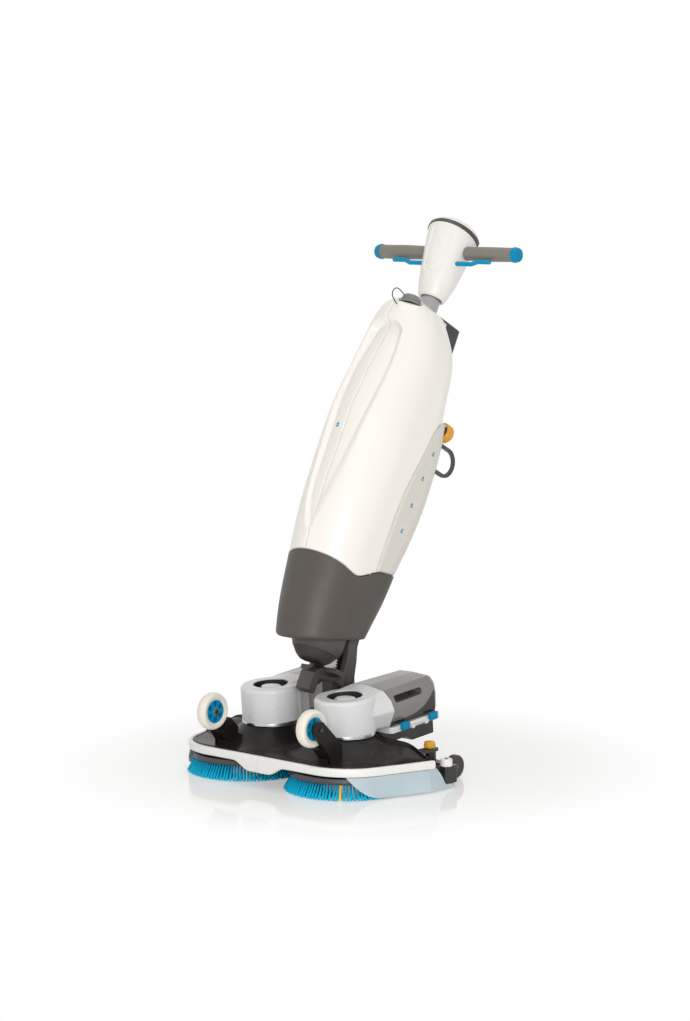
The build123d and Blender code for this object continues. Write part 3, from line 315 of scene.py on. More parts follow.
# Bristles: five rings of blue nylon tufts set in each disc, flaring outwards to the floor. Their tips are
# cut uneven by use, and one yellow tuft in the left brush's outer ring shows when the brush is worn down.
BRUSH_X = 140.0
TUFT_TIP, TUFT_FLARE, TUFT_TOP, TUFT_SIDES = 127.4, 17.0, 31.0, 6
RING_GAP, RING_COUNTS = 9, (104, 97, 90, 82, 74)
WEAR_TURN, WEAR_HALF = radians(-53.65), radians(1.5)
TUFT_SWING, TUFT_TWIST = 0.9, 0.8


def tidy_mesh(piece, loose=False):
    """Close the seams and poles of a piece and turn its faces outwards."""
    mesh = bpy.ops.mesh
    steps = [(mesh.remove_doubles, {"threshold": 0.000002}), (mesh.dissolve_degenerate, {"threshold": 0.000001})]
    if loose:
        steps.append((mesh.delete_loose, {}))
    return edited(piece, *steps, (mesh.select_all, {"action": "SELECT"}),
                  (mesh.normals_make_consistent, {"inside": False}))


def sheet(name, columns, rows, corner, place=Matrix()):
    """A grid of columns x rows faces whose corners go where corner(column, row) puts them in a place, in mm."""
    bpy.ops.object.select_all(action="DESELECT")
    bpy.ops.mesh.primitive_grid_add(x_subdivisions=columns, y_subdivisions=rows, size=2)
    piece = bpy.context.object
    piece.name = piece.data.name = name
    flat = np.empty(len(piece.data.vertices) * 3)
    piece.data.vertices.foreach_get("co", flat)
    flat = flat.reshape(-1, 3)
    column = np.rint((flat[:, 0] + 1) / 2 * columns).astype(int)
    row = np.rint((flat[:, 1] + 1) / 2 * rows).astype(int)
    x, y, z = corner(column, row)
    piece.data.vertices.foreach_set("co", np.stack((x * MM, y * MM, z * MM), axis=1).ravel())
    piece.data.transform(place)
    piece.data.update()
    return piece


def tuft_shape(radius):
    """Corners of a six-sided tuft that leans outwards to a ragged tip at a radius."""
    def corner(column, row):
        turn = 2 * pi * column / TUFT_SIDES
        down = np.array([0, 0.5, 1, 1])[row]
        wide = np.array([2.1, 2.5, 3.2, 0])[row]
        ragged = np.where(row == 2, np.array([0, 1.9, 0.5, 2.6, 0.2, 1.5, 0])[column], 0)
        x = radius - TUFT_FLARE * (1 - down) + wide * np.cos(turn)
        return x, wide * 0.95 * np.sin(turn), TUFT_TOP * (1 - down) + ragged + np.where(row == 3, 1.6, 0)
    return corner


def second_tone(material, colour):
    """Let a second colour into a finish. Gives its tree, the place on the piece and the mix to be driven."""
    tree = material.node_tree
    where, split = node(tree, "TexCoord"), node(tree, "SeparateXYZ")
    mix = node(tree, "Mix", {MIX_B: (*colour, 1)}, data_type="RGBA")
    wire(tree, (where, "Object", split, 0), (tree.nodes["Group"], "Colour", mix, MIX_A),
         (mix, MIX_OUT, tree.nodes["Principled BSDF"], "Base Color"))
    return tree, split, mix


tuft_nylon = finish("tuft_nylon", (0.002, 0.48, 0.74), 0.45, 0.6, shade=0.84, scale=1600, relief=0.0003,
                    Specular_IOR_Level=0.12)
wear_nylon = finish("wear_nylon", (0.85, 0.62, 0.05), 0.38, 0.5, shade=0.8, scale=1600, relief=0.0003)
# Painted shade: the nylon is painted darker towards the roots, up by the disc, for the shade that falls between the
# tufts.
tree, place, mix = second_tone(tuft_nylon, (0.001, 0.22, 0.38))
depth = node(tree, "MapRange", {"From Min": 0.004, "From Max": 0.031})
wire(tree, (place, "Z", depth, "Value"), (depth, "Result", mix, "Factor"))
for side, hand in SIDES:
    rings = []
    for ring, count in enumerate(RING_COUNTS):
        tuft = tidy_mesh(sheet("tuft_ring", TUFT_SIDES, 3, tuft_shape(TUFT_TIP - RING_GAP * ring)))
        tuft.data.transform(Matrix.Rotation(pi / count, 4, "Z"))
        edited(tuft, (bpy.ops.mesh.spin, {"steps": count - 1, "dupli": True, "angle": 2 * pi * (count - 1) / count,
                                          "center": (0, 0, 0), "axis": (0, 0, 1)}))
        for point in tuft.data.vertices:
            number = int((atan2(point.co.y, point.co.x) / (2 * pi) % 1) * count)
            drop = 1 - point.co.z / (TUFT_TOP * MM)
            radius = hypot(point.co.x, point.co.y)
            swing = 1 + drop * TUFT_SWING * (sin(number * 2.4 + ring) - 1) * MM / radius
            twist = drop * TUFT_TWIST * MM / radius * sin(number * 1.7 + 2 * ring)
            point.co = Matrix.Rotation(twist, 3, "Z") @ point.co
            point.co.x, point.co.y = point.co.x * swing, point.co.y * swing
        rings.append(tuft)
    chosen(*rings)
    bpy.ops.object.join()
    tufts = bpy.context.object
    tufts.name = tufts.data.name = "tufts_" + hand
    settle(tufts, "brush_" + hand, "bristle_blue", tuft_nylon, "bristles_" + hand)
    if hand == "left":
        tufts.data.materials.append(wear_nylon)
        for face in tufts.data.polygons:
            angle = atan2(face.center.y, face.center.x)
            inner = TUFT_TIP - RING_GAP - TUFT_FLARE * face.center.z / MM / TUFT_TOP
            if abs(angle - WEAR_TURN) < WEAR_HALF and hypot(face.center.x, face.center.y) > inner * MM:
                face.material_index = 1
    tufts.data.transform(Matrix.Translation(at(side * BRUSH_X, 0, 0)))

# Deck: one black moulding that covers both brushes. A bead runs just inside its rim, it rises in a soft cone
# to the plate under each motor, and a bank beside each cone climbs to the rear.
DECK_FRONT, DECK_REAR, DECK_NOSE_X, DECK_X = -119.0, 95.0, 235.0, 308.0
CORNER_R, BUMPER_T, RIM_Z, DECK_Z, DECK_WALL = 117.0, 9.0, 48.0, 66.0, 4.0
MOTOR_X, MOTOR_Y = 105.68, 39.07
CONE_H, CONE_FOOT, CONE_HEAD = 37.0, 124.0, 61.0
BANK_FRONT, BANK_RUN, BANK_X, BANK_W, BANK_RISE = -5.0, 98.0, 290.0, 53.0, 0.82
BANK_INNER, BANK_EASE = 60.0, 45.0
FIELD_Y = 62.0
SLOPE = (DECK_X - DECK_NOSE_X) / (DECK_REAR - DECK_FRONT)
RUN = sqrt(1 + SLOPE ** 2)


def unit(value):
    """A share kept from 0 to 1."""
    return np.clip(value, 0, 1)


def smooth(share):
    """A share from 0 to 1 that starts and ends gently."""
    return share * share * (3 - 2 * share)


def rim_line(inset, part):
    """Points of the left half of the deck's plan, from the front middle (0) to the rear corner (1)."""
    y0, r = DECK_FRONT + inset, CORNER_R - inset
    x0 = DECK_NOSE_X + SLOPE * inset - inset * RUN
    cx, cy = x0 + SLOPE * r - r * RUN, y0 + r
    turn = np.linspace(-pi / 2, -np.arctan(SLOPE), 60)
    x = np.concatenate(([0], cx + r * np.cos(turn), [DECK_X - inset * RUN]))
    y = np.concatenate(([y0], cy + r * np.sin(turn), [DECK_REAR]))
    walk = np.concatenate(([0], np.cumsum(np.hypot(np.diff(x), np.diff(y)))))
    return np.interp(part * walk[-1], walk, x), np.interp(part * walk[-1], walk, y)


def deck_height(x, y):
    """Height of the deck's top: flat, with a cone under each motor and a bank that climbs to the rear beside it."""
    ramp = np.clip((y - BANK_FRONT) / BANK_RUN, 0.001, 1)
    bank = np.clip((BANK_X - np.abs(x)) / BANK_W, 0.001, 3)
    inner = unit((np.abs(x) - BANK_INNER) / BANK_EASE)
    rises = [BANK_RISE * (ramp ** -5 + bank ** -5) ** -0.2 * inner]
    for s in (1, -1):
        away = np.hypot(x - s * MOTOR_X, y - MOTOR_Y)
        climb = unit((CONE_FOOT - away) / (CONE_FOOT - CONE_HEAD))
        rises.append(climb ** 1.4 * (1 - 0.12 * climb * (1 - climb)))
    return DECK_Z + CONE_H * np.minimum(sum(rise ** 4 for rise in rises) ** 0.25, 1)


EDGE_ROWS = [(0, None), (0, -2.4), (0.7, -0.7), (2.4, 0), (3.4, 0.2), (4.6, 1.4), (6.2, 1.4), (7.6, 0.2), (9, 0)]
RIM_COLUMNS, BACK_EDGE_COLUMNS, FIELD_ROWS = 150, 60, 64


def deck_corner(column, row):
    """Corners of the deck's left half, from its lower edge over the bead and in to the middle."""
    edge = np.minimum(row, len(EDGE_ROWS) - 1)
    inset = np.array([e[0] for e in EDGE_ROWS])[edge]
    lift = np.array([e[1] or 0 for e in EDGE_ROWS])[edge]
    x, y = np.zeros(len(row)), np.zeros(len(row))
    for value in set(inset):
        here = inset == value
        part = np.minimum(column[here] / RIM_COLUMNS, 1)
        x[here], y[here] = rim_line(BUMPER_T + value, part)
        rear = unit((column[here] - RIM_COLUMNS) / BACK_EDGE_COLUMNS)
        x[here] *= 1 - rear
        y[here] = np.minimum(y[here], DECK_REAR - value)
    inward = unit((row - len(EDGE_ROWS) + 1) / FIELD_ROWS)
    x, y = x * (1 - inward), y + (FIELD_Y - y) * inward
    return x, y, np.where(row == 0, RIM_Z, deck_height(x, y) + lift)


def mirrored(piece, merge=True):
    """Add the right half to a left half."""
    return altered(piece, "MIRROR", use_mirror_merge=merge, merge_threshold=0.00002)


def walled(piece, wall):
    """Give an open shell its wall, inwards from its outer face."""
    return altered(piece, "SOLIDIFY", thickness=wall * MM, offset=-1, use_even_offset=False)


def outwards(piece, inside):
    """Turn a shell's faces away from a point inside it."""
    middle = Vector(inside)
    facing = sum(face.area * face.normal.dot(face.center - middle) for face in piece.data.polygons)
    if facing < 0:
        piece.data.flip_normals()
    return piece


deck_black = finish("deck_black", (0.013, 0.0108, 0.0095), 0.26, 0.36, scale=500, relief=0.00002,
                    Specular_IOR_Level=0.15, Coat_Weight=0.05, Coat_Roughness=0.06)
LINE = Matrix.Translation(at(0, 0, 0))
deck = sheet("deck_moulding", RIM_COLUMNS + BACK_EDGE_COLUMNS, len(EDGE_ROWS) - 1 + FIELD_ROWS, deck_corner, LINE)
deck = mirrored(tidy_mesh(deck))
walled(outwards(deck, at(0, 0, 20)), DECK_WALL)
settle(polish(deck, angle=40), "deck", "deck_black", deck_black, "deck_shell")

# Bumper: a white strip round the deck's front and sides in two halves that meet at the nose, where the
# strip drops to guard the brushes.
BUMPER_COLUMNS = 170
BUMPER_GAP, BUMPER_REAR = 0.35, 92.0
NOSE_DROP, NOSE_X, NOSE_EASE, NOSE_DEEP = 18.0, 72.0, 46.0, 12.0
STRIP = [(0.2, 0, 1), (1.2, 0, 0), (5.2, 0, 0), (7.6, 0, 0.9), (8.7, 0, 2.8), (9.0, 0, 5), (9.0, 1, -6),
         (8.7, 1, -3.2), (7.4, 1, -1), (5.4, 1, 0), (1.2, 1, 0), (0.2, 1, -1), (0.2, 0, 1)]


def bumper_corner(column, row):
    """Corners of the strip's left half, once round its section at each place along the rim."""
    proud, top, lift = np.array(STRIP)[row].T
    part = column / BUMPER_COLUMNS
    x, y = np.zeros(len(row)), np.zeros(len(row))
    for value in set(proud):
        here = proud == value
        x[here], y[here] = rim_line(BUMPER_T - value, part[here])
    near = unit((NOSE_X - x) / NOSE_EASE)
    low = RIM_Z - NOSE_DROP * smooth(near) * (y < DECK_FRONT + NOSE_DEEP)
    return np.maximum(x, BUMPER_GAP), np.minimum(y, BUMPER_REAR), np.where(top == 1, DECK_Z, low) + lift


trim_white = finish("trim_white", (0.80, 0.79, 0.77), 0.22, 0.34, shade=0.95, scale=700, relief=0.00002)
bumper = tidy_mesh(sheet("bumper_strip", BUMPER_COLUMNS, len(STRIP) - 1, bumper_corner, LINE))
edited(bumper, (bpy.ops.mesh.fill_holes, {"sides": 0}), (bpy.ops.mesh.normals_make_consistent, {"inside": False}))
outwards(bumper, at(0, 0, DECK_Z))
settle(polish(mirrored(bumper, merge=False), angle=50), "deck", "trim_white", trim_white, "bumper_halves")

# Skirts: a milky clear plastic sheet hangs from each side of the rim to the floor, cut in a curve at the
# front and drawn out into a tail past the squeegee's end, and keeps the water in.
SKIRT_TOP, SKIRT_LOW, SKIRT_WALL, SKIRT_FLARE = 47.5, 3.0, 1.6, radians(8)
SKIRT_FRONT, SKIRT_RUN, SKIRT_CUT = -92.0, 244.0, (-26.0, 66.0, 2.6)
SKIRT_TAIL = ([SKIRT_FRONT, 104, 118, 128, 152], [SKIRT_TOP, SKIRT_TOP, 30, 10.5, 8.6])
BEND_R, BEND_X, BEND_Y, BEND_END = 115, 150.7, -2, -39.1
SKIRT_NOSE, SKIRT_X = (233, -117), 300
SKIRT_COLUMNS, SKIRT_ROWS = 90, 14


def skirt_corner(column, row):
    """Corners of the left sheet, which follows the rim round the front corner and flares to the floor."""
    y = SKIRT_FRONT + SKIRT_RUN * (column / SKIRT_COLUMNS)
    top = np.interp(y, *SKIRT_TAIL)
    start, run, power = SKIRT_CUT
    low = SKIRT_LOW + (SKIRT_TOP - SKIRT_LOW) * unit((start - y) / run) ** power
    z = low + (np.maximum(top, low + 0.02) - low) * row / SKIRT_ROWS
    bent = y < BEND_END
    x = np.where(bent, BEND_X + np.sqrt(np.maximum(BEND_R * BEND_R - (y - BEND_Y) ** 2, 0)),
                 np.minimum(SKIRT_NOSE[0] + SLOPE * (y - SKIRT_NOSE[1]), SKIRT_X))
    flare = (SKIRT_TOP - z) * tan(SKIRT_FLARE)
    nx = np.where(bent, (x - BEND_X) / BEND_R, 1)
    ny = np.where(bent, (y - BEND_Y) / BEND_R, 0)
    return x + nx * flare, y + ny * flare, z


skirt_clear = finish("skirt_clear", (0.68, 0.80, 0.86), 0.34, 0.46, shade=0.97, scale=300, relief=0.0001,
                     Transmission_Weight=0.4, IOR=1.3)
skirt = sheet("skirt_sheet", SKIRT_COLUMNS, SKIRT_ROWS, skirt_corner, LINE)
walled(outwards(skirt, at(100, 30, 25)), SKIRT_WALL)
settle(polish(mirrored(skirt, merge=False), angle=50), "deck", "skirt_clear", skirt_clear, "side_skirts")

# Drive housings: a grey-white moulded drum over each motor, with a round hole in its roof and a tail that meets
# the battery. It stands on a bright machined flange, and in the hole a black liner rings the fan's white dome.
DRIVE_Z, DRIVE_TILT = 149.5, radians(4.5)
DOME = [(0, 168), (22.5, 168), (23, 177), (21.8, 180.2), (18.5, 182), (12, 183.2), (0, 183.6)]
LINER = [(36.4, 4), (37.9, 4), (37.9, 35.2), (37.4, 35.8), (36.4, 35.4)]
drive_grey = finish("drive_grey", (0.68, 0.685, 0.695), 0.2, 0.45, shade=0.97, scale=1200, relief=0.00003)
flange_metal = finish("flange_metal", (0.62, 0.62, 0.62), 0.22, 0.36, Metallic=1.0)
motor_black = finish("motor_black", (0.012, 0.012, 0.013), 0.5, 0.65)
refine("motor_housings", "deck", "drive_grey", drive_grey, 2.2, 26)
refine("motor_flanges", "deck", "flange_metal", flange_metal, 0.6)
dress(motor_black, "motors")


def outlined(name, points, **fill):
    """A closed outline through points, in metres."""
    bpy.ops.object.select_all(action="DESELECT")
    bpy.ops.mesh.primitive_circle_add(vertices=len(points), **fill)
    piece = bpy.context.object
    piece.name = piece.data.name = name
    for corner, point in zip(piece.data.vertices, points):
        corner.co = point
    return piece


def spun(name, profile, place, steps=48, angle=35.0):
    """A turned piece: a closed profile of (radius, height) points in mm, swept once round and put in place."""
    piece = outlined(name, [(r * MM, 0, h * MM) for r, h in profile])
    edited(piece, (bpy.ops.mesh.spin, {"steps": steps, "angle": 2 * pi, "center": (0, 0, 0), "axis": (0, 0, 1)}))
    tidy_mesh(piece, loose=True)
    piece.data.transform(place)
    return polish(piece, angle=angle)


fan_white = finish("fan_white", (0.78, 0.78, 0.77), 0.25, 0.35)
for side, hand in SIDES:
    upright = Matrix.Translation(at(side * MOTOR_X, MOTOR_Y, 0))
    settle(spun("fan_dome_" + hand, DOME, upright, 64), "deck", "trim_white", fan_white)
    tilted = Matrix.Translation(at(side * MOTOR_X, MOTOR_Y, DRIVE_Z)) @ Matrix.Rotation(DRIVE_TILT, 4, "X")
    settle(spun("hole_liner_" + hand, LINER, tilted, 64), "deck", "motor_black", motor_black)

# Batteries: two metallic grey packs that slide out to the rear. The outer side has a deep hand slot, and a
# darker lower panel whose upper edge sweeps up towards the rear.
PANEL_Y, PANEL_Z, PANEL_EDGE, PANEL_STEP = (0.1068, 0.2728), (0.112, 0.192), 0.0008, 0.0012
PANEL_SWEEP = ((0.0, 0.20), (0.35, 0.22), (0.62, 0.36), (0.85, 0.72), (1.0, 0.95))
battery_grey = finish("battery_grey", (0.235, 0.227, 0.212), 0.17, 0.25, shade=0.93, scale=2600,
                      relief=0.00002, Metallic=0.55, Specular_IOR_Level=0.3)
tree, place, mix = second_tone(battery_grey, (0.05, 0.047, 0.043))
sweep = node(tree, "FloatCurve")
knots = sweep.mapping.curves[0].points
knots[0].location, knots[-1].location = PANEL_SWEEP[0], PANEL_SWEEP[-1]
for knot in PANEL_SWEEP[1:-1]:
    knots.new(*knot)
sweep.mapping.update()
ahead = node(tree, "MapRange", {"From Min": BRUSH_LINE + PANEL_Y[0], "From Max": BRUSH_LINE + PANEL_Y[1]})
height = node(tree, "MapRange", {"To Min": PANEL_Z[0], "To Max": PANEL_Z[1]})
gap = node(tree, "Math", operation="SUBTRACT")
panel = node(tree, "MapRange", {"From Min": -PANEL_EDGE, "From Max": PANEL_EDGE}, interpolation_type="SMOOTHSTEP")
step = node(tree, "Bump", {"Distance": PANEL_STEP})
wire(tree, (place, "Y", ahead, "Value"), (ahead, "Result", sweep, "Value"), (sweep, "Value", height, "Value"),
     (height, "Result", gap, 0), (place, "Z", gap, 1), (gap, 0, panel, "Value"), (panel, "Result", mix, "Factor"),
     (panel, "Result", step, "Height"), (tree.nodes["Bump"], "Normal", step, "Normal"),
     (step, "Normal", tree.nodes["Principled BSDF"], "Normal"))
for side, hand in SIDES:
    refine("battery_" + hand, "battery_" + hand, "battery_grey", battery_grey, 1.6, 28)

# Battery bases: white plates that carry the batteries, with two blue latch tabs on a white rod along each
# outer edge, and a black tray behind the deck that holds each plate up.
LATCH_TAB = 0.0262
accent_blue, latch_blue = [finish(name, (0.001, 0.25, 0.47), 0.33, 0.45, scale=800, Specular_IOR_Level=0.15)
                           for name in ("accent_blue", "latch_blue")]
tray_black = finish("tray_black", (0.014, 0.013, 0.013), 0.4, 0.55, scale=1500, relief=0.00006)
refine("battery_bases", "deck", "trim_white", trim_white, 1.2)
refine("battery_trays", "deck", "tray_black", tray_black, 1.5)
low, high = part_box("latches_left")
tree, place, mix = second_tone(latch_blue, (0.62, 0.61, 0.59))
rod = node(tree, "Math", {1: (low[1] + high[1]) / 2, 2: (high[1] - low[1]) / 2 - LATCH_TAB}, operation="COMPARE")
wire(tree, (place, "Y", rod, 0), (rod, 0, mix, "Factor"))
for side, hand in SIDES:
    refine("latches_" + hand, "latches_" + hand, "accent_blue", latch_blue, 0.7)

# Transport wheels: cream rubber tyres on blue drilled hubs with a steel bearing, carried at the front of the
# deck on black arms. The scrubber is tipped forwards onto them to be moved.
WHEEL = (141.0, -107.0, 142.0)
TYRE = [(25, -9), (31.5, -11.6), (33.5, -12), (35.2, -11.4), (37.6, -9), (39.3, -5.5), (40, 0), (39.3, 5.5),
        (37.6, 9), (35.2, 11.4), (33.5, 12), (31.5, 11.6), (25, 9)]
BEARING = [(4.1, -12.2), (8.4, -12.2), (8.8, -11.6), (8.8, 11.6), (8.4, 12.2), (7.6, 12.4), (6.6, 11.7), (5.6, 12.4),
           (4.1, 12.4)]
WEB = [(9.2, -1.5), (24, -1.5), (24.6, -1), (24.6, 1), (24, 1.5), (9.2, 1.5)]
ARM_RUN, ARM_FALL, ARM_EYE = 0.68, 0.733, 17.6
ARM_X, ARM_FOOT_X, ARM_FOOT_Z = (156, 167), (129, 165), 63
tyre_cream = finish("tyre_cream", (0.80, 0.76, 0.68), 0.45, 0.6, shade=0.94, scale=900, relief=0.00005)
steel = finish("steel", (0.68, 0.66, 0.63), 0.2, 0.36, Metallic=1.0)
for side, hand in SIDES:
    hub_place = Matrix.Translation(at(side * WHEEL[0], *WHEEL[1:])) @ Matrix.Rotation(side * pi / 2, 4, "Y")
    body = "transport_wheel_" + hand
    settle(spun("tyre_" + hand, TYRE, hub_place, 96), body, "tyre_cream", tyre_cream, "transport_tyre_" + hand)
    refine("transport_hub_" + hand, body, "accent_blue", accent_blue, 0.6)
    settle(spun("bearing_" + hand, BEARING, hub_place, 40), body, "steel", steel)
    settle(spun("hub_web_" + hand, WEB, hub_place, 48), body, "tray_black", tray_black)


def plate(name, outline, x0, x1):
    """A flat piece from x0 to x1 with its outline given as (y, z)."""
    piece = outlined(name, [at(x0, y, z) for y, z in outline], fill_type="NGON")
    move = {"value": ((x1 - x0) * MM, 0, 0)}
    return tidy_mesh(edited(piece, (bpy.ops.mesh.extrude_region_move, {"TRANSFORM_OT_translate": move})))


def along_arm(run, across):
    """Point (y, z) of an arm, run mm down it from the axle and across mm off its middle line."""
    return WHEEL[1] + ARM_RUN * run + ARM_FALL * across, WHEEL[2] - ARM_FALL * run + ARM_RUN * across


eye = [along_arm(-ARM_EYE * sin(t), ARM_EYE * cos(t)) for t in np.linspace(0, pi, 17)]
toe, heel = along_arm(72, -22), along_arm(76, 22)
foot = [toe, (toe[0], ARM_FOOT_Z), (heel[0], ARM_FOOT_Z), heel]
arm = plate("transport_arm", eye + foot, *ARM_X)
chosen(arm, plate("arm_foot", [along_arm(44, -21), *foot, along_arm(44, 21)], *ARM_FOOT_X))
bpy.ops.object.join()
settle(polish(mirrored(arm, merge=False), 2.0), "deck", "deck_black", deck_black, "transport_arms")
dress(finish("pin_steel", (0.10, 0.095, 0.09), 0.3, 0.42, Metallic=0.8), "axles")

# Squeegee: a black curved carrier behind the brushes with two rubber blades, hung from the deck on two links
# that yellow knobs clamp. White rollers guard its ends and two dark wheels run behind it.
carrier_black = finish("carrier_black", (0.016, 0.015, 0.015), 0.3, 0.45, scale=1300, relief=0.00006)
blade_rubber = finish("blade_rubber", (0.30, 0.115, 0.085), 0.45, 0.6, shade=0.8)
wheel_grey = finish("wheel_grey", (0.05, 0.043, 0.037), 0.45, 0.6)
knob_yellow = finish("knob_yellow", (0.76, 0.36, 0.02), 0.25, 0.38, shade=0.85)
refine("squeegee_carrier", "deck", "tray_black", carrier_black, 1.4)
refine("squeegee_blades", "deck", "blade_rubber", blade_rubber, 0.4)
for side, hand in SIDES:
    for kind, slot, material, edge in (("squeegee_knob_", "accent_yellow", knob_yellow, 0.7),
                                       ("corner_roller_", "trim_white", trim_white, 0.6),
                                       ("rear_wheel_", "wheel_grey", wheel_grey, 0.5)):
        refine(kind + hand, kind + hand, slot, material, edge)

# Two-axis joint: a cast bracket on the deck, a cross that rolls in it and a yoke under the body that leans
# on the cross, all in dark painted metal.
joint_metal = finish("joint_metal", (0.058, 0.049, 0.043), 0.34, 0.48, scale=1100, relief=0.00008)
for solid, body, edge in (("pivot_bracket", "deck", 1.6), ("pivot_cross", "cross", 1.2), ("yoke", "column", 1.6)):
    refine(solid, body, "joint_metal", joint_metal, edge)

# Suction hoses: black ribbed rubber, one from the squeegee's spout to the collar on the cross and one on up
# into the lower housing.
HOSE_MID, HOSE_TOP, HOSE_FOOT = (148.5, 196.5), (165.7, 272.9), (152.5, 84.0)
HOSE_START, HOSE_STEP, HOSE_BORE, HOSE_R, HOSE_MAX, RIB_RISE, RIB_PITCH = 7.2, 0.9, 14.0, 17.0, 18.4, 1.5, 6.0
hose_black = finish("hose_black", (0.013, 0.013, 0.013), 0.38, 0.5, scale=1400)


def hose_way(end):
    """The way from where the hoses meet to an end, and a place that looks along it."""
    ahead = Vector((0, end[0] - HOSE_MID[0], end[1] - HOSE_MID[1]))
    return ahead, Matrix.Translation(at(0, *HOSE_MID)) @ ahead.to_track_quat("Z", "X").to_matrix().to_4x4()


for name, end, far_body in (("hose_upper", HOSE_TOP, "column"), ("hose_lower", HOSE_FOOT, "deck")):
    ahead, stand = hose_way(end)
    length = ahead.length
    along = np.linspace(HOSE_START, length, round((length - HOSE_START) / HOSE_STEP) + 1)
    wave = HOSE_R + RIB_RISE * np.cos((along - along[0]) / RIB_PITCH * 2 * pi)
    profile = [(HOSE_BORE, along[0])] + list(zip(np.minimum(wave, HOSE_MAX), along)) + [(HOSE_BORE, length)]
    hose = spun(name, [(float(r), float(h)) for r, h in profile], stand, 48, angle=60)
    hose.data.materials.append(hose_black)
    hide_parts("suction_" + name)
    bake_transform(hose)

# Lower housing: a warm dark grey cup that carries the tanks. Its underside slopes down to the front, its rear
# corners turn in below a slanted line, and a drum for the vacuum motor hangs from it with a ribbed air inlet.
# Each station of the body is its height, half width, front, rear and rear corner radius.
STATIONS = [(0, 67, -161, 0, 45), (100, 78, -190, 13, 50), (200, 89, -204, 23, 55), (300, 95, -217, 27, 58),
            (450, 102, -221, 25, 60), (550, 103, -219, 19, 60), (650, 100, -205, 4, 60), (740, 90, -193, -12, 56),
            (800, 66, -182.5, -46, 44), (808, 60, -178.5, -51, 39), (816, 48, -171, -61, 31),
            (824, 34, -158, -74, 21), (832, 18, -137, -88, 11), (838, 8, -121, -98, 5)]
TANK_TOP = STATIONS[-1][0]
JOINT = [(-260, 222), (-206, 216), (-150, 203), (-120, 197), (-70, 222), (-15, 238), (30, 247), (120, 252)]
AXIS_V = -72.0
CUP_FOOT, CUP_SLOPE, CUP_ROUND, CUP_LIP, CUP_MIDDLE = 94, 0.368, 7, 14, AXIS_V - 10
TURN_V, TURN_SLOPE, TURN_W, TURN_TOP, TURN_X = -18, 0.238, 95, 197, 20
TURN_EASE, TURN_STEP, TURN_MAX, TURN_IN, TURN_BACK = 3, 1.5, 40, 0.55, 0.6
DRUM = [(46, 33), (49, 33), (51, 34.5), (56, 46), (57, 50), (57, 105), (46, 105)]
GRILLE_TOP, GRILLE_H, GRILLE_TAPER = 37, 25, 0.36


def fair(knots, count=1200):
    """Natural cubic curve through the knots, as a table of points along it."""
    knots = np.array(knots, float)
    t = np.concatenate(([0], np.cumsum(np.linalg.norm(np.diff(knots, axis=0), axis=1))))
    h, n = np.diff(t), len(t)
    lhs, rhs = np.eye(n), np.zeros_like(knots)
    for i in range(1, n - 1):
        lhs[i, i - 1:i + 2] = h[i - 1], 2 * (h[i - 1] + h[i]), h[i]
        rhs[i] = 6 * ((knots[i + 1] - knots[i]) / h[i] - (knots[i] - knots[i - 1]) / h[i - 1])
    bend = np.linalg.solve(lhs, rhs)
    q = np.linspace(0, t[-1], count)
    k = np.clip(np.searchsorted(t, q) - 1, 0, n - 2)
    a, b, g = (t[k + 1] - q)[:, None], (q - t[k])[:, None], h[k][:, None]
    return (bend[k] * a ** 3 + bend[k + 1] * b ** 3) / (6 * g) + (knots[k] / g - bend[k] * g / 6) * a + (
        knots[k + 1] / g - bend[k + 1] * g / 6) * b


def looked_up(table, q, column=1):
    """Value of a fair curve's column where its first one is q."""
    return np.interp(q, table[:, 0], table[:, column])


LEVELS = fair(STATIONS)
WAVE = fair(JOINT)


def level_at(w):
    return [looked_up(LEVELS, w, k) for k in (1, 2, 3, 4)]


def joint_at(v):
    return looked_up(WAVE, v)


def wall_length(w):
    """Way round the left half of the body at height w, from the front middle to the rear middle."""
    a, front, rear, corner = level_at(w)
    return a * pi / 2 + np.maximum(rear - corner - front - a, 0) + corner * pi / 2 + a - corner


def wall(w, s):
    """Point (x, v) of the body's left half at height w, s mm round from the front, and the way out of it."""
    a, front, rear, corner = level_at(w)
    one = a * pi / 2
    two = one + np.maximum(rear - corner - front - a, 0)
    three = two + corner * pi / 2
    turn = np.clip(s / a, 0, pi / 2)
    bend = np.clip((s - two) / corner, 0, pi / 2)
    parts = [s < one, s < two, s < three]
    x = np.select(parts, [a * np.sin(turn), a, a - corner + corner * np.cos(bend)], a - corner - (s - three))
    v = np.select(parts, [front + a - a * np.cos(turn), front + a + s - one,
                          rear - corner + corner * np.sin(bend)], rear)
    nx = np.select(parts, [np.sin(turn), 1, np.cos(bend)], 0)
    nv = np.select(parts, [-np.cos(turn), 0, np.sin(bend)], 1)
    return x, v, nx, nv


CUP_COLUMNS = 220
CUP_ROWS = [(0.0, 0, 0), (0.5, 0, 0), (0.93, 0, 0)]
CUP_ROWS += [(1.0, CUP_ROUND * (1 - sin(t)), CUP_ROUND * (1 - cos(t))) for t in np.linspace(0, pi / 2, 7)]
CUP_RIM = len(CUP_ROWS)
CUP_ROWS += [(1.0, 0, k) for k in np.linspace(0.02, 1, 60)]
CUP_ROWS += [(1.0, 0.3, 2), (1.0, 1.0, 2), (1.0, 4.0, 2), (1.0, 4.0, 3)]


def past_turn(v, w):
    """How far a point lies behind the slanted line where the cup's rear corner turns in."""
    return v - TURN_V - TURN_SLOPE * (w - TURN_W)


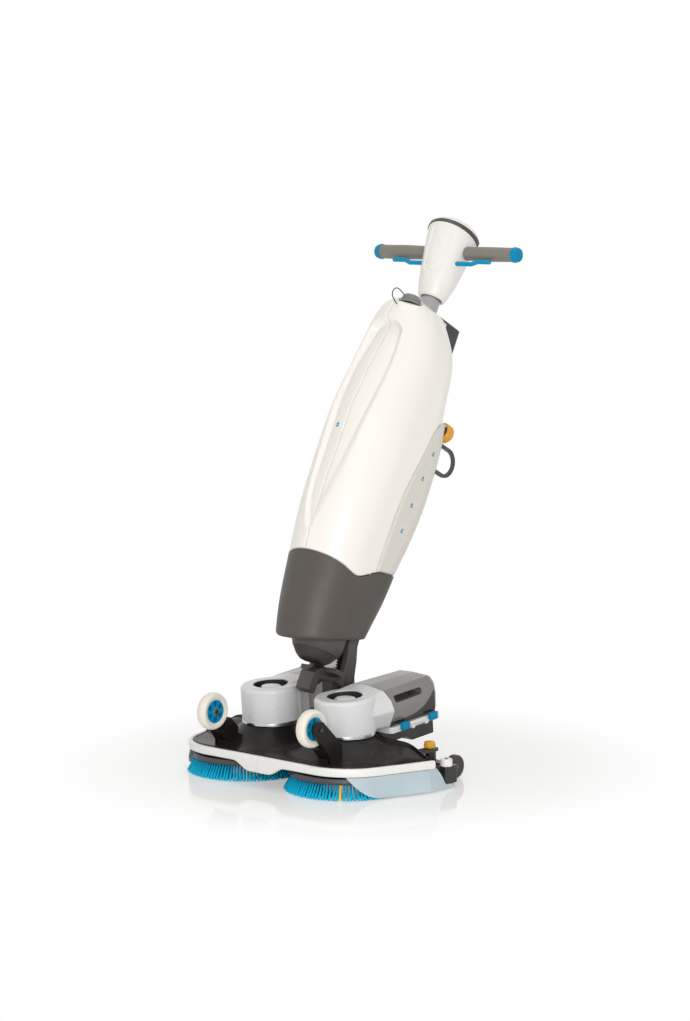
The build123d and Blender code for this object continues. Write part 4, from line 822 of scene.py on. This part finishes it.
def cup_corner(column, row):
    """Corners of the cup's left half, from the middle of its underside up to the joint and back inside it."""
    reach, inset, rise = np.array(CUP_ROWS)[row].T
    part = column / CUP_COLUMNS
    rim = row >= CUP_RIM
    up = np.where(rim, np.minimum(rise, 1), 0)
    w = np.full(len(row), 120.0)
    for _ in range(8):
        x, v, nx, nv = wall(w, part * wall_length(w))
        low = CUP_FOOT + CUP_SLOPE * v
        w = np.where(rim, low + CUP_ROUND + (joint_at(v) - low - CUP_ROUND) * up, low + rise)
    w = np.where(rise == 2, joint_at(v) + np.where(inset > 0.5, 0, -0.4), w)
    w = np.where(rise == 3, joint_at(v) - CUP_LIP, w)
    below = unit((TURN_TOP - w) / TURN_EASE)
    inset = inset + TURN_STEP * (unit(past_turn(v, w) / TURN_EASE) * below * (x > TURN_X))
    x, v = x - nx * inset, v - nv * inset
    turned = np.clip(past_turn(v, w), 0, TURN_MAX) * below * unit((x - TURN_X) / 25)
    x, v = x - TURN_IN * turned, v + TURN_BACK * turned
    x, v = x * reach, CUP_MIDDLE + (v - CUP_MIDDLE) * reach
    return x, v, np.where(row < 3, CUP_FOOT + CUP_SLOPE * v, w)


cup_grey = finish("cup_grey", (0.082, 0.072, 0.065), 0.42, 0.54, shade=0.94, scale=1500, relief=0.00004,
                  Specular_IOR_Level=0.35)
cup = sheet("cup_shell", CUP_COLUMNS, len(CUP_ROWS) - 1, cup_corner, BODY)
cup = outwards(tidy_mesh(mirrored(tidy_mesh(cup))), BODY @ Vector((0, -0.085, 0.15)))
settle(polish(cup, angle=45), "column", "cup_grey", cup_grey, "lower_housing")
BODY_AXIS = in_body(0, AXIS_V, 0)
settle(spun("vacuum_drum", DRUM, BODY_AXIS, 96), "column", "cup_grey", cup_grey)
vacuum_black = finish("vacuum_black", (0.045, 0.038, 0.033), 0.4, 0.55)
grille = eased("vacuum_grille", 0.4)
grille.data.transform(BODY_AXIS.inverted())
for corner in grille.data.vertices:
    taper = 1 - GRILLE_TAPER * max(0, (GRILLE_TOP * MM - corner.co.z) / (GRILLE_H * MM))
    corner.co.x, corner.co.y = corner.co.x * taper, corner.co.y * taper
grille.data.transform(BODY_AXIS)
settle(grille, "column", "vacuum_black", vacuum_black, "vacuum_grille")
dress(vacuum_black, "vacuum_motor")
up, port_place = hose_way(HOSE_TOP)
port = [(HOSE_BORE, 0), (20.5, 0), (21.5, 1), (21.5, 34), (HOSE_BORE, 34)]
settle(spun("hose_port", [(r, up.length + h) for r, h in port], port_place, 64), "column", "cup_grey", cup_grey)

# Tanks: two cream blow-moulded halves with rounded edges meet at the middle. A long teardrop is pressed into
# their front, deep under an arch at the top. Its right edge is crisp, and its left one runs out softly.
SPLIT = [(225, -62.5), (300, -66.2), (370, -67.6), (441, -61), (493, -50), (535, -42), (565, -35), (582, -25),
         (592, -8), (600, 14)]
SPLIT_LINE = fair(SPLIT)
REAR_TOP = 594.0
RECESS_DEPTH = [(255, 7.5), (300, 8), (373, 8.5), (451, 11), (511, 12.5), (639, 11), (690, 14), (724, 18), (765, 21)]
RECESS_EASE = {1: [34, 32, 22, 14, 10, 9], -1: [9, 9, 8, 8, 9, 9]}
EASE_W = [262, 320, 430, 560, 700, 750]
CAP, CAP_SEAT = (24.0, -158.0, 808.0), 27
PIT_FLANK, PIT_ARCH, PIT_END = [(735, 48), (650, 57), (560, 56), (430, 45)], 27, (282, 20)
arch = np.linspace(0, pi / 2, 40)
pits = {}
for side, low in ((1, [(320, 27), (282, 14)]), (-1, [(320, 33), (282, 20)])):
    flank = fair((PIT_FLANK + low)[::-1], 200)
    (top_w, top_x), (end_w, end_r) = PIT_FLANK[0], PIT_END
    pits[side] = np.concatenate((np.stack((low[-1][1] * np.sin(arch), end_w - end_r * np.cos(arch)), 1),
                                 flank[:, ::-1],
                                 np.stack((top_x * np.cos(arch), top_w + PIT_ARCH * np.sin(arch)), 1)))


def recess(side, x, w):
    """How far the front of the tanks is pressed in, x mm from the middle on one side."""
    pit = pits[side]
    inside = x < np.interp(w, pit[:, 1], pit[:, 0], left=-1, right=-1)
    away = np.full(len(x), 1e9)
    for (x0, w0), (x1, w1) in zip(pit[:-1], pit[1:]):
        dx, dw = x1 - x0, w1 - w0
        t = unit(((x - x0) * dx + (w - w0) * dw) / max(dx * dx + dw * dw, 1e-9))
        away = np.minimum(away, np.hypot(x - x0 - t * dx, w - w0 - t * dw))
    t = unit(away / np.interp(w, EASE_W, RECESS_EASE[side]))
    deep = np.interp(w, *np.array(RECESS_DEPTH).T)
    return np.where(inside, deep * smooth(t), 0)


def split_at(w):
    return looked_up(SPLIT_LINE, w)


def edge_round(distance, radius):
    """Inward drop of a rounded edge at a distance from it."""
    d = np.clip(radius - distance, 0, radius)
    return radius - np.sqrt(np.maximum(radius ** 2 - d ** 2, 0))


SEAM_STEPS = np.array([0, 0, 0.3, 0.8, 1.6, 2.6, 4])
EDGE_STEPS = np.array([9, 7, 5, 3.2, 1.6, 0.5, 0])
FOOT_STEPS = np.array([0, 0, 0, 0.3, 0.9, 2, 3.5, 5.5])
EDGE_ROUND, SEAM_ROUND, FOOT_ROUND, FOOT_GAP, FOOT_RISE = 8.5, 3.0, 5.0, 1, 5.5
SEAM_X, SEAM_START, NOSE_RUN, INNER_V, APEX_V = 0.5, 0.7, 118.0, -82, -112
FOOT_MIDDLE, SEAM_TUCK, FOOT_TUCK = (30, -100, 232), 4, 5
NOSE_COLUMNS, SIDE_COLUMNS, BACK_COLUMNS, TANK_ROWS = 84, 52, 12, 300
AFTER_SEAM = 1 + len(SEAM_STEPS)
AFTER_SIDE = AFTER_SEAM + NOSE_COLUMNS + SIDE_COLUMNS
AFTER_EDGE = AFTER_SIDE + len(EDGE_STEPS)
TANK_COLUMNS = AFTER_EDGE + BACK_COLUMNS


def tank_corner(side):
    """Corners of a closed tank half: up the middle plane, round its outside from front to rear, and back."""
    def corner(column, row):
        foot = FOOT_STEPS[np.minimum(row, len(FOOT_STEPS) - 1)]
        up = unit((row - len(FOOT_STEPS) + 1) / (TANK_ROWS - len(FOOT_STEPS) - 1))
        up = up * 0.25 + 0.75 * np.sin(up * pi / 2) ** 0.9
        nose = unit((column - AFTER_SEAM + 1) / NOSE_COLUMNS)
        flank = unit((column - AFTER_SEAM - NOSE_COLUMNS + 1) / (SIDE_COLUMNS + 1))
        last = np.clip(column - AFTER_SIDE, 0, len(EDGE_STEPS) - 1)
        back = unit((column - AFTER_EDGE + 1) / BACK_COLUMNS)
        middle = (column == 0) | (column == TANK_COLUMNS)
        seam = SEAM_STEPS[np.clip(column - 1, 0, len(SEAM_STEPS) - 1)]
        w = np.full(len(row), 400.0)
        for _ in range(7):
            a, front, rear, corner_r = level_at(w)
            below = w < REAR_TOP + 0.5
            v_end = np.where(below, split_at(w) - 1, rear - corner_r * 0.14)
            one = a * pi / 2
            two = one + np.maximum(rear - corner_r - front - a, 0)
            bent = np.arcsin(unit((v_end - rear + corner_r) / corner_r))
            stop = np.where(v_end <= rear - corner_r, one + v_end - front - a, two + corner_r * bent)
            run = np.minimum(NOSE_RUN, 0.5 * stop)
            outside = SEAM_STEPS[-1] + (run - SEAM_STEPS[-1]) * nose
            outside = outside + (stop - EDGE_STEPS[0] - SEAM_START - run) * flank
            s = SEAM_START + np.where(column < AFTER_SEAM, seam, outside)
            s = np.where(column >= AFTER_SIDE, stop - EDGE_STEPS[last], s)
            s = np.where((column >= AFTER_EDGE) & ~below, stop + (wall_length(w) - SEAM_X - stop) * back, s)
            x, v, nx, nv = wall(w, s)
            behind = (column >= AFTER_EDGE) & below
            x = np.where(behind, x * (1 - back) + SEAM_X * back, x)
            v = np.where(middle, np.minimum(INNER_V, rear - 5), v)
            foot_w = joint_at(v) + FOOT_GAP
            top = foot_w + FOOT_RISE
            w = np.where(row < len(FOOT_STEPS), foot_w + foot, top + (TANK_TOP - top) * up)
        inset = np.maximum(np.where(column < AFTER_SIDE, edge_round(s - SEAM_START, SEAM_ROUND), 0),
                           edge_round(w - foot_w, FOOT_ROUND))
        inset = np.where(column == 1, inset + SEAM_TUCK, inset)
        inset = np.where(row == 1, inset + FOOT_TUCK, inset)
        rounded = below & (column >= AFTER_SIDE) & (column < AFTER_EDGE)
        inset = np.maximum(inset, np.where(rounded, edge_round(EDGE_STEPS[last], EDGE_ROUND), 0))
        inset = np.where(behind, 0, inset + recess(side, x, w) * (column < AFTER_SIDE))
        x = np.where(middle, SEAM_X, x - nx * inset * (column > 1))
        v = np.where(middle, v, v - nv * inset) - np.where(behind & ~middle, EDGE_ROUND, 0)
        done = row >= TANK_ROWS - 1
        ease = np.where(row == TANK_ROWS, 0, 0.5)
        x = np.where(done, np.maximum(x * ease, SEAM_X), x)
        v = np.where(done, APEX_V + (v - APEX_V) * ease, v)
        w = np.where(done, TANK_TOP + 0.6 + 0.4 * (1 - ease), w)
        if side == 1:
            t = unit((CAP_SEAT - np.hypot(x - CAP[0], v - CAP[1])) / 2)
            w = w - np.maximum(w - CAP[2] + 3, 0) * smooth(t)
        x, v, w = [np.where(row == 0, centre, c) for centre, c in zip(FOOT_MIDDLE, (x, v, w))]
        return side * np.maximum(x, SEAM_X), v, w
    return corner


tank_cream = finish("tank_cream", (0.855, 0.835, 0.785), 0.16, 0.26, shade=0.98, scale=350, relief=0.00003,
                    Coat_Weight=0.15)
for side, hand in SIDES:
    tank = sheet("tank_half_" + hand, TANK_COLUMNS, TANK_ROWS, tank_corner(side), BODY)
    settle(polish(tidy_mesh(tank), angle=50), "column", "tank_cream", tank_cream, "tank_" + hand)


def level_mark(name, place):
    """A printed arrow with a short bar beside it, standing a hair above the moulding."""
    bpy.ops.object.select_all(action="DESELECT")
    bpy.ops.mesh.primitive_cylinder_add(vertices=3, radius=4.4 * MM, depth=0.6 * MM)
    mark = bpy.context.object
    mark.name = mark.data.name = name
    bpy.ops.mesh.primitive_cylinder_add(vertices=8, radius=1.5 * MM, depth=0.6 * MM)
    dash = bpy.context.object
    for corner in dash.data.vertices:
        corner.co = (corner.co.x * 3.2, corner.co.y - 5.2 * MM, corner.co.z)
    chosen(mark, dash)
    bpy.ops.object.join()
    mark.data.transform(place)
    settle(polish(mark, 0.12), "column", "accent_blue", accent_blue)


level_mark("level_mark_front", in_body(-20, -207.5, 502) @ Matrix.Rotation(pi / 2, 4, "X"))

# Rear tank: a cream shell that closes the body behind the split, with rounded edges that leave a soft groove
# along it, and four level marks down its left side.
REAR_STATIONS = [(225, 88, 20), (300, 93, 31), (400, 98, 38), (500, 98, 37), (560, 97, 31), (605, 95, 22)]
REAR_LEVELS = fair(REAR_STATIONS)
REAR_CORNER, REAR_ROUND, REAR_WALL = 50.0, 6.0, 2.5
REAR_COLUMNS, REAR_ROWS, TOP_ROWS, ROUND_ROWS, FOOT_ROWS, TOP_REACH = 90, 110, 10, 6, 6, 6
LAST_EDGE = len(EDGE_STEPS) - 1
MARKS = ((-17.5, 521.8), (-26.2, 460.8), (-33.4, 396.2), (-35.3, 336.1))


def rear_corner(column, row):
    """Corners of the rear tank's left half, from the split round to the rear middle and from its foot to its top."""
    up = unit((row - FOOT_ROWS) / (REAR_ROWS - FOOT_ROWS - TOP_ROWS))
    foot = FOOT_STEPS[1 + np.minimum(row, FOOT_ROWS)]
    head = np.clip(row - (REAR_ROWS - TOP_ROWS), 0, TOP_ROWS)
    edge = EDGE_STEPS[::-1][np.minimum(column, LAST_EDGE)]
    w = np.full(len(row), 400.0)
    for _ in range(7):
        a, rear = [looked_up(REAR_LEVELS, w, k) for k in (1, 2)]
        v0 = split_at(w)
        side_run = np.maximum(rear - REAR_CORNER - v0, 0)
        bent0 = np.arcsin(unit((v0 - rear + REAR_CORNER) / REAR_CORNER))
        corner_run = side_run + REAR_CORNER * (pi / 2 - bent0)
        total = corner_run + a - REAR_CORNER
        beyond = unit((column - LAST_EDGE) / (REAR_COLUMNS - LAST_EDGE))
        s = np.where(column <= LAST_EDGE, edge, EDGE_STEPS[0] + (total - EDGE_STEPS[0]) * beyond)
        bend = np.clip(bent0 + (s - side_run) / REAR_CORNER, bent0, pi / 2)
        x = np.select([s < side_run, s < corner_run], [a, a - REAR_CORNER + REAR_CORNER * np.cos(bend)], total - s)
        v = np.select([s < side_run, bend < pi / 2], [v0 + s, rear - REAR_CORNER + REAR_CORNER * np.sin(bend)], rear)
        nx, nv = np.where(s < side_run, 1, np.cos(bend)), np.where(s < side_run, 0, np.sin(bend))
        foot_w = joint_at(v) + FOOT_GAP
        top = foot_w + FOOT_RISE
        w = np.where(row <= FOOT_ROWS, foot_w + foot, top + (REAR_TOP - REAR_ROUND - foot_w - FOOT_RISE) * up)
    inset = np.maximum(edge_round(s, EDGE_ROUND), edge_round(w - foot_w, FOOT_ROUND))
    inset = inset + np.where(row == 0, FOOT_TUCK, 0)
    turn = unit(head / ROUND_ROWS) * pi / 2
    inset = np.maximum(inset, REAR_ROUND * (1 - np.cos(turn)))
    x, v = x - nx * inset, v - nv * inset
    w = w + REAR_ROUND * np.sin(turn)
    v = v + (split_at(w) + TOP_REACH - v) * unit((head - ROUND_ROWS) / (TOP_ROWS - ROUND_ROWS))
    return x, v, w


rear = sheet("rear_tank_shell", REAR_COLUMNS, REAR_ROWS, rear_corner, BODY)
rear = outwards(tidy_mesh(mirrored(tidy_mesh(rear))), BODY @ Vector((0, -0.02, 0.4)))
# Painted shade: the rear tank is the front tanks' cream painted darker, for the shade on its side that faces away
# from the lamps.
rear_cream_painted_shade = finish("rear_cream_painted_shade", (0.66, 0.635, 0.58), 0.18, 0.28, shade=0.98, scale=350, relief=0.00003)
settle(polish(walled(rear, REAR_WALL), angle=50), "column", "tank_cream", rear_cream_painted_shade, "rear_tank")
for number, (v, w) in enumerate(MARKS):
    flank = float(looked_up(REAR_LEVELS, w))
    place = in_body(flank, v, w) @ Matrix.Rotation(pi / 2, 4, "Y")
    level_mark(f"level_mark_{number}", place @ Matrix.Rotation(pi / 2, 4, "Z"))

# Drain plug and strap: a yellow screw plug on a black neck, and below it a dark perforated strap that stands
# out from the rear tank in a bow.
PLUG, PLUG_SHIFT = (58, 36, 592), -8
SEAL = [(12.4, -16), (15.6, -16), (16.6, -15), (16.6, -8.4), (15.8, -7.6), (12.4, -7.6)]
plug_place = in_body(*PLUG) @ Matrix.Rotation(-pi / 2, 4, "X")
plug_black = finish("plug_black", (0.02, 0.02, 0.02), 0.4, 0.55)
plug = eased("drain_plug", 0.8)
plug.data.transform(Matrix.Translation(plug_place.to_3x3() @ Vector((0, 0, PLUG_SHIFT * MM))))
settle(plug, "drain_plug", "accent_yellow", knob_yellow, "drain_plug")
settle(spun("plug_seal", SEAL, plug_place, 48), "drain_plug", "tray_black", plug_black)
refine("plug_strap", "column", "tray_black", finish("strap_grey", (0.07, 0.068, 0.066), 0.4, 0.55), 0.4)

# Filler cap: a grey ribbed screw cap in a seat on the left tank's shoulder. The tether keeps it on the tank
# when it is off.
CAP_SHAPE = [(16.4, 0), (20.6, 0), (21.4, 0.8), (21.4, 4.2), (20.2, 5), (20.2, 6.2), (21.2, 7), (21.2, 10.4),
             (20.2, 11.2), (20.2, 12.2), (20.6, 13), (19.6, 15.6), (17, 17.8), (13, 19), (0, 19.8), (0, 11.5),
             (16.4, 11.5)]
cap_grey = finish("cap_grey", (0.21, 0.205, 0.20), 0.32, 0.45)
settle(spun("cap_form", CAP_SHAPE, in_body(*CAP), 72), "filler_cap", "cap_grey", cap_grey, "filler_cap")

# Column: a silver tube runs up inside the tanks from the lower housing to the head, and a dark junction box
# with a bright clip closes the shoulder behind it.
tube_silver = finish("tube_silver", (0.40, 0.40, 0.405), 0.26, 0.36, scale=400, Metallic=1.0)
box_dark = finish("box_dark", (0.032, 0.03, 0.029), 0.35, 0.48)
refine("column_tube", "column", "tube_silver", tube_silver, 0.3)


def bar(name, size, middle, edge):
    """A block in the body's frame with rounded edges."""
    bpy.ops.object.select_all(action="DESELECT")
    bpy.ops.mesh.primitive_cube_add(size=MM)
    piece = bpy.context.object
    piece.name = piece.data.name = name
    piece.data.transform(Matrix.Diagonal((*size, 1.0)))
    piece.data.transform(in_body(*middle))
    return polish(piece, edge, steps=3)


settle(bar("box_form", (50, 90, 60), (0, -19, 799), 5.0), "column", "tray_black", box_dark, "junction_box")
settle(bar("box_clip", (2, 7, 18), (25.4, -29.6, 812.6), 0.7), "column", "steel", steel)

# Head: a glossy white cone whose top is cut at a slant and drawn in at the back, with a shallow shield pressed
# into its front. A dark gasket and a white dome with one button close it.
HEAD_FOOT, HEAD_WALL, HEAD_RISE = 866.0, 2.5, 120
HEAD_PROFILE = [(866, 32), (900, 41), (940, 48), (1000, 57.5), (1050, 63)]
HEAD_CURVE = fair(HEAD_PROFILE, 300)
HEAD_LIP = np.array([(22.2, 862), (25.4, 858.7), (28.4, 859.4), (30.6, 862)])
RING_V, RING_W, RING_TILT = -65.0, 1012.0, radians(14)
SOLID_TILT, CAP_WIDER = radians(19), 1.045
GASKET = [(51, -3), (60.6, -3), (62, -1.6), (62, 5), (61, 6.2), (51, 6.2)]
SWING = atan2(RING_V - AXIS_V, RING_W - HEAD_FOOT)
HEAD_COLUMNS, HEAD_ROWS = 240, 120
HEAD_BACK, HEAD_FLAT = 0.38, 20.0
SHIELD_TURN, SHIELD_HALF, SHIELD_FOOT, SHIELD_ROUND, SHIELD_TOP, SHIELD_DEEP = 0.21, 31.0, 908.0, 22.0, 9, 2.4
SHIELD_EDGE, SHIELD_SOFTER, SHIELD_FADE = 3, 0.6, 2.5


def flattened(back):
    """How far the head is drawn in along the ring's plane, at a distance behind the ring's middle."""
    return HEAD_BACK * np.maximum(back - HEAD_FLAT, 0)


def head_corner(column, row):
    """Corners of the cone, from the lip at its foot to its slanted rim."""
    turn = 2 * pi * column / HEAD_COLUMNS
    ahead = -np.cos(turn)
    top = np.full(len(row), RING_W)
    for _ in range(8):
        y = looked_up(HEAD_CURVE, top) * ahead
        v = AXIS_V + y * cos(SWING) + (top - HEAD_FOOT) * sin(SWING)
        rim = RING_W - tan(RING_TILT) * (v - RING_V)
        top = HEAD_FOOT + (rim - HEAD_FOOT + y * sin(SWING)) / cos(SWING)
    lip, lips = np.minimum(row, 3), len(HEAD_LIP)
    up = unit((row - lips) / (HEAD_ROWS - lips))
    w = np.where(row < lips, HEAD_LIP[lip, 1], HEAD_FOOT + (top - HEAD_FOOT) * up)
    r = np.where(row < lips, HEAD_LIP[lip, 0], looked_up(HEAD_CURVE, w))
    across = (np.where(column > HEAD_COLUMNS / 2, turn - 2 * pi, turn) - SHIELD_TURN) * r
    beside = np.maximum(np.abs(across) - SHIELD_HALF + SHIELD_ROUND, 0)
    away = SHIELD_ROUND - np.hypot(beside, np.maximum(SHIELD_FOOT + SHIELD_ROUND - w, 0))
    inside = unit(away / (SHIELD_EDGE + SHIELD_SOFTER * np.maximum(across, 0)))
    inside = smooth(inside) * unit((top - SHIELD_TOP - w) / SHIELD_FADE)
    r = r - SHIELD_DEEP * inside
    y, up = r * ahead, w - HEAD_FOOT
    v = AXIS_V + y * cos(SWING) + up * sin(SWING)
    w = HEAD_FOOT - y * sin(SWING) + up * cos(SWING)
    drawn = flattened((v - RING_V) / cos(RING_TILT)) * unit((w - HEAD_FOOT) / HEAD_RISE)
    return r * np.sin(turn), v - drawn * cos(RING_TILT), w + drawn * sin(RING_TILT)


head_white = finish("head_white", (0.82, 0.80, 0.775), 0.26, 0.34, shade=0.98, scale=350, relief=0.00002)
head = sheet("head_cone", HEAD_COLUMNS, HEAD_ROWS, head_corner, BODY)
head = outwards(tidy_mesh(head), BODY @ Vector((0, AXIS_V * MM, 0.95)))
settle(polish(walled(head, HEAD_WALL), angle=45), "column", "head_white", head_white, "head_shell")
gasket_dark = finish("gasket_dark", (0.055, 0.053, 0.051), 0.35, 0.45)
button_grey = finish("button_grey", (0.2, 0.2, 0.2), 0.35, 0.45)
solid_ring = in_body(0, AXIS_V, RING_W) @ Matrix.Rotation(-SOLID_TILT, 4, "X")
ring_place = in_body(0, RING_V, RING_W) @ Matrix.Rotation(-RING_TILT, 4, "X")


def drawn_in(piece):
    """Draw a piece of the head's top in at the back as the cone is."""
    piece.data.transform(ring_place.inverted())
    for corner in piece.data.vertices:
        corner.co.y -= float(flattened(corner.co.y / MM)) * MM
    piece.data.transform(ring_place)
    return piece


settle(drawn_in(spun("gasket_ring", GASKET, ring_place, 96)), "column", "gasket_dark", gasket_dark, "head_gasket")
for solid, body, slot, material, wide in (("head_cap", "column", "head_white", head_white, CAP_WIDER),
                                          ("button_power", "button_power", "button_grey", button_grey, 1.0)):
    piece = eased(solid, 0.3, 25)
    piece.data.transform(ring_place @ Matrix.Diagonal((wide, wide, 1, 1)) @ solid_ring.inverted())
    settle(drawn_in(piece), body, slot, material, solid)

# Handlebar: a steel bar through the head with warm grey rubber grips, blue end caps, and a bent blue lever
# under each grip.
BAR_V, BAR_W = -69, 973
TUBE = [(9, -197), (11, -197), (11, 197), (9, 197)]
GRIP = [(11, 55), (13.5, 55), (15, 57), (15.9, 95), (16.1, 125), (15.7, 160), (15.5, 185.4), (15, 186), (11, 186)]
END_CAP = [(11, 186.2), (16, 186.2), (17, 187.2), (17, 191.4), (16.4, 192.6), (15.8, 196.6), (14.4, 199.6),
           (11, 201.4), (5, 202), (0, 202), (0, 198), (11, 198)]
grip_grey = finish("grip_grey", (0.20, 0.19, 0.16), 0.42, 0.55, shade=0.92, scale=1000, relief=0.00008)
lever_blue = finish("lever_blue", (0.003, 0.29, 0.52), 0.33, 0.45, Specular_IOR_Level=0.15)
bar_place = in_body(0, BAR_V, BAR_W) @ Matrix.Rotation(pi / 2, 4, "Y")
settle(spun("handlebar_tube", TUBE, bar_place, 48), "column", "steel", steel, "handlebar")
for name, profile, slot, material, solid in (("grip_form", GRIP, "grip_grey", grip_grey, "grips"),
                                             ("end_cap_form", END_CAP, "accent_blue", accent_blue, "end_caps")):
    settle(mirrored(spun(name, profile, bar_place, 64), merge=False), "column", slot, material, solid)
for side, hand in SIDES:
    refine("lever_" + hand, "lever_" + hand, "lever_blue", lever_blue, 0.3, 40)

size = {"cad": [list(c) for c in cad_box], "visual": [list(c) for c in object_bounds()]}
